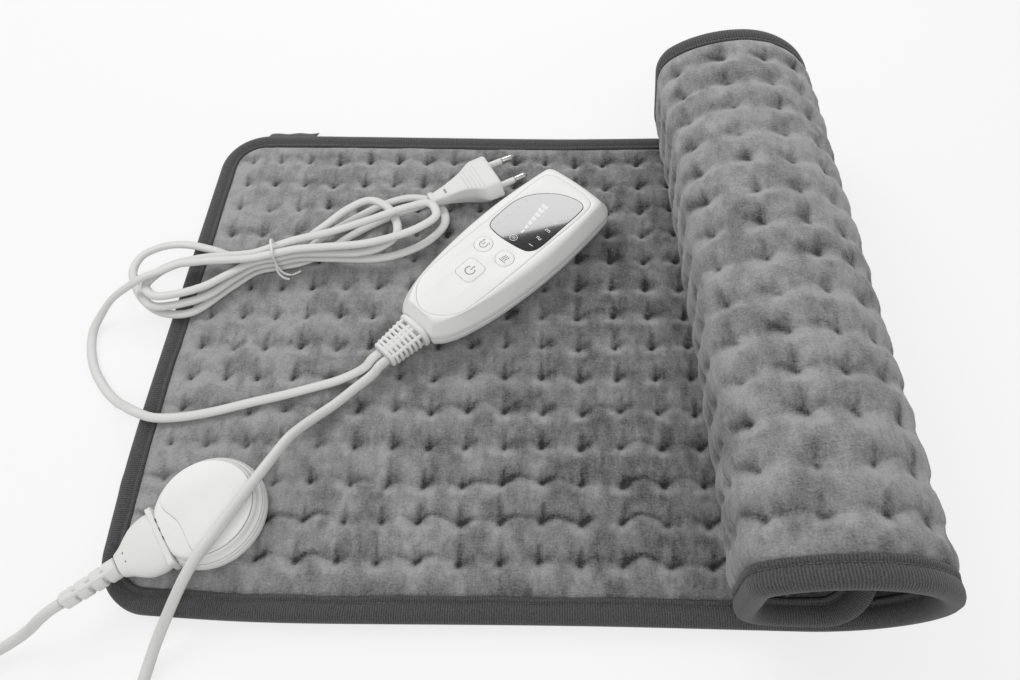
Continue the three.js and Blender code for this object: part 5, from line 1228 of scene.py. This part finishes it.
def digits(text, x, y, size):
    """Seven-stroke figures, read along the controller from its cords to its display."""
    shapes = {"0": "abcdef", "1": "bc", "2": "abged", "3": "abgcd", "4": "fgbc", "5": "afgcd", "6": "afgecd"}
    w, h = size * 0.5, size
    bars = {"a": ((0, h), (w, h)), "b": ((w, h), (w, h / 2)), "c": ((w, h / 2), (w, 0)),
            "d": ((0, 0), (w, 0)), "e": ((0, 0), (0, h / 2)), "f": ((0, h / 2), (0, h)),
            "g": ((0, h / 2), (w, h / 2))}
    longer = 0.027 * size
    out = []
    for n, char in enumerate(text):
        x0 = x + n * size * 0.8
        for key in shapes[char]:
            (ax, ay), (bx, by) = bars[key]
            if ax == bx:
                line = [(x0 + ax, y + min(ay, by) - longer), (x0 + bx, y + max(ay, by) + longer)]
            else:
                line = [(x0 + ax - longer, y + ay), (x0 + bx + longer, y + by)]
            out.append(stroke(line, size * 0.16))
    return out


# On the glass: six levels along one side, four times along the other, a growing bar row and a round symbol
shown = []
for n in range(6):
    shown += digits(str(n + 1), 74 + n * 7.1, -13.4, 2.6)
for n, text in enumerate(("60", "45", "30", "15")):
    shown += digits(text, 72.6 + n * 7.6, 11.4, 2.3)
for n in range(7):
    x0, x1 = 78 + n * 3.5, 80.7 + n * 3.5
    shown.append([(x0, -2.6 + n * 0.25), (x1, -2.6 + n * 0.25), (x1, -1.2 + n * 0.85), (x0, -1.5 + n * 0.75)])
shown.append(stroke(arc(72.6, -1.4, 2.1, 0, 360, 28), 0.3))
shown += [stroke([(71.6, -2.2 + k * 0.8), (73.6, -2.2 + k * 0.8)], 0.25) for k in range(3)]
marks("display_marks", shown, GLASS_TOP, WHITE_PRINT)


def squircle(x, half_width, half_height, z, sides=32, squareness=0.7):
    """A rounded rectangle across X."""
    return [(x, half_width * math.copysign(abs(c) ** squareness, c),
             z + half_height * math.copysign(abs(t) ** squareness, t)) for c, t in turns(sides)]


def rounded_slab(x0, x1, half_width, half_height, z, edge_radius=0.5, squareness=0.7, sides=32):
    """A short oval disc along X with rounded edges."""
    return lofted([squircle(x, half_width - shrink, half_height - shrink, z, sides, squareness)
                   for x, shrink in ((x0, edge_radius), (x0 + edge_radius * 0.3, edge_radius * 0.3),
                                     (x0 + edge_radius, 0), (x1 - edge_radius, 0),
                                     (x1 - edge_radius * 0.3, edge_radius * 0.3), (x1, edge_radius))])


def bar(start, end, half):
    """A straight rounded bar between two points."""
    a, b = Vector(start), Vector(end)
    d = (b - a).normalized()
    side = d.cross(Vector((0, 0, 1))).normalized()
    up = side.cross(d)
    rings = []
    for share, size in ((0, 0.6), (0.04, 1), (0.96, 1), (1, 0.6)):
        p = a + (b - a) * share
        rings.append([tuple(p + side * half * size * c + up * half * size * t) for c, t in turns(8)])
    return lofted(rings)


def prism_z(outline, heights):
    """An outline across Z, from one height to another."""
    return lofted([[(x, y, z) for x, y in outline] for z in heights])


def prism_x(outline, places):
    """An outline across X, from one place to another."""
    return lofted([[(x, y, z) for y, z in outline] for x in places])


# Boot: a bead at the controller, then thick cross ribs tied by a wide spine and rails, and an end flange
def boot():
    start, end, ribs = -4.6, BOOT_END, 6
    length = start - end
    parts = [rounded_slab(-3.4, -0.3, 10.9, 7.0, NECK_Z, 1.1),
             lofted([squircle(start + 1.6 - (length + 1.2) * t, 5.8 - 0.9 * t, 3.1 - 0.3 * t, NECK_Z)
                     for t in (0, 0.25, 0.5, 0.75, 1)])]
    for i in range(ribs):
        x = start - 1.6 - (length - 5.2) * i / (ribs - 1)
        t = (start - x) / length
        parts.append(rounded_slab(x - 0.9, x + 0.9, 10.2 - 2.0 * t, 5.9 - 1.2 * t, NECK_Z, 0.7))
    parts.append(rounded_slab(end, end + 2.4, 8.0, 5.0, NECK_Z, 0.9))
    for y, z, half in ((0.14, 1, 1.6), (0.76, 0.84, 1.1)):
        for side in (1, -1):
            for way in (1, -1):
                parts.append(bar((start + 2, way * y * 9.6, NECK_Z + side * z * (5.7 - half)),
                                 (end + 1, way * y * 7.6, NECK_Z + side * z * (4.6 - half)), half))
    parts.append(lofted([squircle(x, wide, 4.4, NECK_Z, 24, 0.4)
                         for x, wide in ((-3.2, 7), (4.4, 7), (4.4, 8.2), (6.4, 8.2))]))
    mould("cord_boot_lattice", parts, SOFT, handset, 45, slot="soft_white", node="cord_boot")


boot()


# Socket: a low round housing, cut straight towards the connector, with a raised face plate
SOCKET_CUT = 21
SOCKET_TOP = 11.75


def disc(profile):
    """Rings through radii and heights, none beyond the cut."""
    return [[(min(radius * c, SOCKET_CUT), radius * t, z) for c, t in turns(96)] for radius, z in profile]


def nose(z0, z1):
    """The squared end that faces the connector."""
    outer = rounded(4, SOCKET_CUT, -13.5, 13.5, (1.6, 1.6, 1, 1), 4)
    return lofted([[(x, y, z) for x, y in inset(outer, shrink)]
                   for z, shrink in ((z0, 0.3), (z0 + 0.3, 0), (z1 - 0.8, 0), (z1 - 0.25, 0.25), (z1, 0.8))])


def socket_pieces():
    low = curve2([(25.4, 0), (26.6, 0.5), (27, 1.6), (27, 4.0), (26.6, 4.5)], 4)
    side = curve2([(26.4, 4.8), (26.8, 5.2), (26.7, 6.2), (25.9, 7.4), (24.9, 8.3), (24.4, 9.3), (24.0, 10.6),
                   (23.0, 11.4), (SOCKET_CUT, SOCKET_TOP)], 4)
    side += [(SOCKET_CUT * share, SOCKET_TOP) for share in (0.5, 0.02)]
    mould("socket_housing_base", [lofted(disc(low)), nose(0.0, 4.5)], WHITE, socket, 40,
          slot="white_plastic", node="socket_base")
    mould("socket_housing_cover", [lofted(disc(side)), nose(4.8, 10.0)], WHITE, socket, 40,
          slot="white_plastic", node="socket_cover")
    # A fine line of painted shade round the cover
    radius, z, half = 26.05, 7.2, 0.12
    rings = []
    for angle in np.radians(np.linspace(40, 320, 60)):
        rings.append([((radius + half * c) * math.cos(angle), (radius + half * c) * math.sin(angle),
                       z + half * t) for c, t in turns(6)])
    join("socket_line_outer", [lofted(rings)], SHADOW_LINE, socket)
    # Face plate: round, with a wave towards the connector and a bite for the finger
    wave = [(13.0, -18.4), (15.6, -15.2), (16.2, -12.1), (15.6, -8.9), (14.4, -5.7), (12.7, -0.5),
            (12.4, 4.0), (12.5, 8.3), (12.6, 13.6), (12.0, 18.6)]
    points = arc(0, 0, 23.0, 62, 298, 60)[:-1] + curve2(wave, 8)[:-1]
    plate("socket_face_plate", [points], 11.2, 12.35, socket, WHITE, 0.35, 3, slot="white_plastic",
          node="socket_cover")
    # A thin grey line round the face plate's foot: painted shade under its edge
    plate("socket_plate_line", [grown(points, 0.16)], 11.5, 11.82, socket, SHADOW_LINE, 0.02)


socket_pieces()


# Connector: an oval body with its flange and tongue, three slots, two dots and a ribbed relief
def connector():
    steps = [0, 2, 5.5, 9.5, 13.5, 17, 20]
    half = [15.2, 15.5, 15.2, 13.9, 11.0, 7.8, 6.0]
    tall = [5.2, 5.3, 5.3, 5.2, 4.9, 4.5, 4.1]
    start, length, axis, socket_axis = 24.0, steps[-1], RELIEF_Z, 6.3
    line = catmull([(start + x, w, h) for x, w, h in zip(steps, half, tall)], 5)
    rings = [squircle(x, w, h, socket_axis + (axis - socket_axis) * (x - start) / length, 40, 0.74)
             for x, w, h in line]
    flange = [[(x, y, z) for y, z in rounded(-16.2 + e, 16.2 - e, 1 + e, 11.6 - e, 1.6 - e * 0.6, 5)]
              for x, e in ((21.3, 0.4), (21.6, 0), (23.8, 0), (24.1, 0.4))]
    tongue = prism_x(rounded(-8.1, 8.1, 4.05, 7.95, 0.6, 3), (17, 21.6))
    body = mould("connector_housing", [lofted(rings), lofted(flange), tongue], SOFT, socket, 40,
                 body="connector", slot="soft_white", node="connector_body")
    # The slots are dark patches on the flange: painted shade of the openings
    slots = [prism_x(rounded(y - 1.0, y + 1.0, 10.2, 11.72, 0.2, 2), (20.95, 21.34))
             for y in (-7.5, -2.5, 2.5)]
    join("connector_slots", slots, DARK, socket, body="connector", smooth=False)
    dots = [prism_z(circle(0.55, 39.5, y, 12), (9.6, 10.72)) for y in (-2.4, 2.0)]
    join("connector_dots", dots, PRINT, socket, body="connector", smooth=False)
    start, end, ribs = 44.4, RELIEF_END, 4
    relief = [lofted([squircle(start + (end - start) * t, 3.2 - 1.2 * t, 4.3 - 1.2 * t, axis, 24, 0.9)
                      for t in (0, 0.5, 1)])]
    for i in range(ribs):
        t = (i + 0.42) / ribs
        x = start + (end - start) * t
        wide = 5.2 if i < ribs - 1 else 6.0
        size = 5.2 - 1.2 * t
        relief.append(rounded_slab(x - wide / 2, min(x + wide / 2, end), size, size, axis, 0.6, 0.9, 28))
    for y, z in ((-1, 1), (1, 1), (-1, -1), (1, -1)):
        relief.append(bar((start + 0.4, y * 1.5, axis + z * 3.9), (end - 0.4, y * 1.1, axis + z * 2.9), 1.3))
    relief = mould("connector_ribbed_relief", relief, SOFT, socket, 45, body="connector", slot="soft_white",
                   node="connector_relief")
    return [body, relief]


connector_parts = connector()


# Plug: a bead and a neck, a flat flaring body with grip ridges, a front block with ridged sides, sleeved pins
def ridged(x, side, flat, high, round_share):
    """A six-cornered section with rounded corners."""
    corners = np.array([(side, 0), (flat, high), (-flat, high), (-side, 0), (-flat, -high), (flat, -high)])
    ring = []
    for i, here in enumerate(corners):
        before = here + (corners[i - 1] - here) * round_share
        after = here + (corners[(i + 1) % 6] - here) * round_share
        for t in (0, 0.25, 0.5, 0.75, 1):
            ring.append((x, *(before * (1 - t) ** 2 + here * 2 * t * (1 - t) + after * t * t).tolist()))
    return ring


PLUG_LENGTH = 42.5
PLUG_WIDTH = 35.3
PIN_TOE_IN = math.radians(1.7)
# Sections along the plug, as shares of its length, width and thickness: place, ridges, flats, height
PLUG_NECK = [(0, 0.28, 0.2, 0.40), (0.012, 0.33, 0.24, 0.46), (0.04, 0.352, 0.25, 0.49),
             (0.066, 0.33, 0.24, 0.46), (0.082, 0.25, 0.2, 0.42)]
PLUG_FLARE = np.array([(0.09, 0.245, 0.2, 0.43), (0.14, 0.265, 0.22, 0.47), (0.225, 0.30, 0.26, 0.54),
                       (0.32, 0.335, 0.29, 0.65), (0.41, 0.375, 0.33, 0.77), (0.53, 0.47, 0.42, 0.90),
                       (0.635, 0.63, 0.545, 0.985), (0.705, 0.83, 0.64, 1.0), (0.775, 0.97, 0.69, 1.0),
                       (0.88, 1.0, 0.7, 1.0), (0.97, 1.0, 0.7, 1.0)])
PLUG_FRONT = [(0.988, 0.985, 0.69, 0.97), (1.0, 0.95, 0.66, 0.92)]


def plug_pieces():
    flare = catmull(PLUG_FLARE[:, :3] * 10, 3) / 10
    heights = np.interp(flare[:, 0], PLUG_FLARE[:, 0], PLUG_FLARE[:, 3])
    shares = np.array([*PLUG_NECK, *np.column_stack([flare, heights]), *PLUG_FRONT])
    sections = shares * (PLUG_LENGTH, PLUG_WIDTH / 2, PLUG_WIDTH / 2, PLUG_THICKNESS / 2)
    parts = [lofted([ridged(*section, 0.3 if section[0] < 0.3 * PLUG_LENGTH else 0.13)
                     for section in sections])]
    for i in range(5):
        x = 23.2 + 2.3 * i
        half, top = (float(np.interp(x, sections[:, 0], sections[:, column])) for column in (2, 3))
        for side in (-1, 1):
            z = side * (top - 0.1)
            parts.append(bar((x, -half * 0.86, z), (x, half * 0.86, z), 0.5))
    # A grey patch for the rear slot: painted shade of its opening
    rear_slot = prism_z(rounded(9.8, 11.3, -1.8, 1.8, 0.3, 3), (2.5, 4.0))
    made = [mould("plug_moulding", parts, PLUG, plug, 32, slot="plug_plastic", node="plug_body"),
            join("plug_rear_slot", [rear_slot], SHADOW_LINE, plug, smooth=False)]
    pin = [(1.2, -5), (1.2, 10.2), (2.0, 10.4), (2.0, 16.5), (1.85, 17.5), (1.3, 18.3), (0.5, 18.5)]
    sleeve = [(1.25, -0.2), (1.95, -0.2), (1.95, 9.8), (1.8, 10.1), (1.25, 10.1)]
    for side, name in ((1, "left"), (-1, "right")):
        arm = (plug @ Matrix.Translation((PLUG_LENGTH, side * 9.3, 0))
               @ Matrix.Rotation(-side * PIN_TOE_IN, 4, "Z"))
        for label, profile, material, slot in (("pin", pin, NICKEL, "nickel"),
                                               ("sleeve", sleeve, SOFT, "soft_white")):
            rings = [[(x, r * c, r * t) for c, t in turns(28)] for r, x in profile]
            made.append(mould(f"plug_{label}_{name}_turned", [lofted(rings, looped=label == "sleeve")],
                              material, arm, 45, slot=slot, node=f"plug_{label}_{name}"))
    return made


plug_parts = plug_pieces()


# Wire tie round the hank's waist, with its two ends twisted and left loose
def tie():
    half = COLUMN_HALF + MAINS_WIDTH / 2 + 1.1
    low = PAD_THICKNESS + GAP + 0.75
    top = level(3) + MAINS_THICKNESS / 2 + 1.2
    middle = (low + top) / 2
    loop = [(0.0, -half, middle), (0.1, -half + 1.4, top - 1.0), (0.2, -half + 3, top), (0, 0, top + 0.25),
            (-0.2, half - 3, top), (-0.1, half - 1.4, top - 1.0), (0, half, middle),
            (0, half + 0.3, low + 1.6), (0, half + 1.6, low)]
    end = [(0.0, -half, middle), (0.6, -half - 1.0, middle - 3.5), (2.2, -half - 2.4, low + 2.0),
           (6, -half - 3.6, low + 0.4), (12, -half - 2.0, low + 0.2)]
    other_end = [(0.0, -half, middle + 0.4), (-0.6, -half - 1.2, middle - 3), (-0.4, -half - 2.6, low + 3),
                 (1.6, -half - 4.6, low + 0.6), (5.0, -half - 6.4, low + 0.2)]
    parts = [lofted(tie_rings(evenly(catmull(places, 10), 0.7)[0], 0.72, 0.45, 10))
             for places in (loop, end, other_end)]
    join("wire_tie_band", parts, TIE, local(*WAIST, 0, WAIST_TILT), slot="wire_tie", node="hank_tie")


tie()


# Finishes of the CAD pieces that stay
CONTACTS = [f"{holder}_contact_{n}" for holder in ("socket", "connector") for n in (1, 2, 3)]
for finish, kept in ((BOARD, ["socket_board", "circuit_board"]), (BRASS, CONTACTS),
                     (NICKEL, ["thermal_fuse", "glass_fuse", "screw_1", "screw_2", "screw_3", "screw_4"]),
                     (DARK, ["thermostat", "display_module", "power_switch", "timer_switch", "heat_switch",
                             "relay", "capacitor", "cord_clamp"])):
    for node in kept:
        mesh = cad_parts[node].data
        for index in range(len(mesh.materials)):
            mesh.materials[index] = finish
        if not mesh.materials:
            mesh.materials.append(finish)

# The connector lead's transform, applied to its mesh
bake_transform(back)

# Stage: white floor and soft light, the main lamp behind and above
floor_mesh = bpy.data.meshes.new("floor")
floor_mesh.from_pydata(at_height(0, (-6, -6), (6, -6), (6, 6), (-6, 6)), [], [(0, 1, 2, 3)])
floor = bpy.data.objects.new("floor", floor_mesh)
bpy.context.collection.objects.link(floor)
paper = Shader("paper", 236, 0.9)
# The camera sees the floor partly as a light of its own, which keeps it close to white
share = paper.maths("MULTIPLY", paper.node("ShaderNodeLightPath").outputs["Is Camera Ray"], 0.72)
blend = paper.node("ShaderNodeMixShader", Fac=share)
paper.put(blend.inputs[1], paper.shader.outputs[0])
paper.put(blend.inputs[2], paper.node("ShaderNodeEmission").outputs[0])
paper.put(paper.tree.nodes["Material Output"].inputs["Surface"], blend.outputs[0])
floor_mesh.materials.append(paper.material)

world = bpy.data.worlds.new("studio")
bpy.context.scene.world = world
world.use_nodes = True
background = world.node_tree.nodes["Background"]
background.inputs["Color"].default_value = (1, 1, 1, 1)
background.inputs["Strength"].default_value = 0.55


def lamp(name, size, power):
    data = bpy.data.lights.new(name, "AREA")
    data.shape = "RECTANGLE"
    data.size, data.size_y = size
    data.energy = power
    made = bpy.data.objects.new(name, data)
    bpy.context.collection.objects.link(made)
    return made


def studio_lamp(name, place, size, power):
    """A lamp that faces the origin."""
    made = lamp(name, size, power)
    made.location = place
    made.rotation_mode = "QUATERNION"
    made.rotation_quaternion = (-Vector(place)).to_track_quat("-Z", "Y")


def display_card(edge_start, edge_end, reach, deep, spread, power):
    """A lamp whose mirror image in the display ends at a line from one place on the glass to another."""
    eye = camera.location
    a, b = (handset @ Vector((x, y, HEIGHT + 0.1)) for x, y in (edge_start, edge_end))
    rays = [Vector((p.x - eye.x, p.y - eye.y, eye.z - p.z)) for p in (a, b)]
    a, b = a + rays[0] * reach, b + rays[1] * reach
    facing = (rays[0] + rays[1]).normalized()
    along = (b - a).normalized()
    away = along.cross(facing).normalized()
    if away.z > 0:
        away = -away
    facing = away.cross(along).normalized()
    if facing.y < 0:
        facing = -facing
    made = lamp("display_card", ((b - a).length * spread, deep), power)
    axes = Matrix((along, facing.cross(along), facing)).transposed()
    made.matrix_world = Matrix.Translation((a + b) / 2 + away * deep / 2) @ axes.to_4x4()


studio_lamp("key", (-1.15, 1.0, 1.35), (1.3, 0.9), 13)
studio_lamp("fill", (0.4, -1.2, 1.3), (1.8, 1.0), 7)
display_card((69.5, 2.5), (98.4, -14.9), 1.6, 0.13, 2.1, 0.66)
bpy.context.scene.view_settings.view_transform = "Standard"
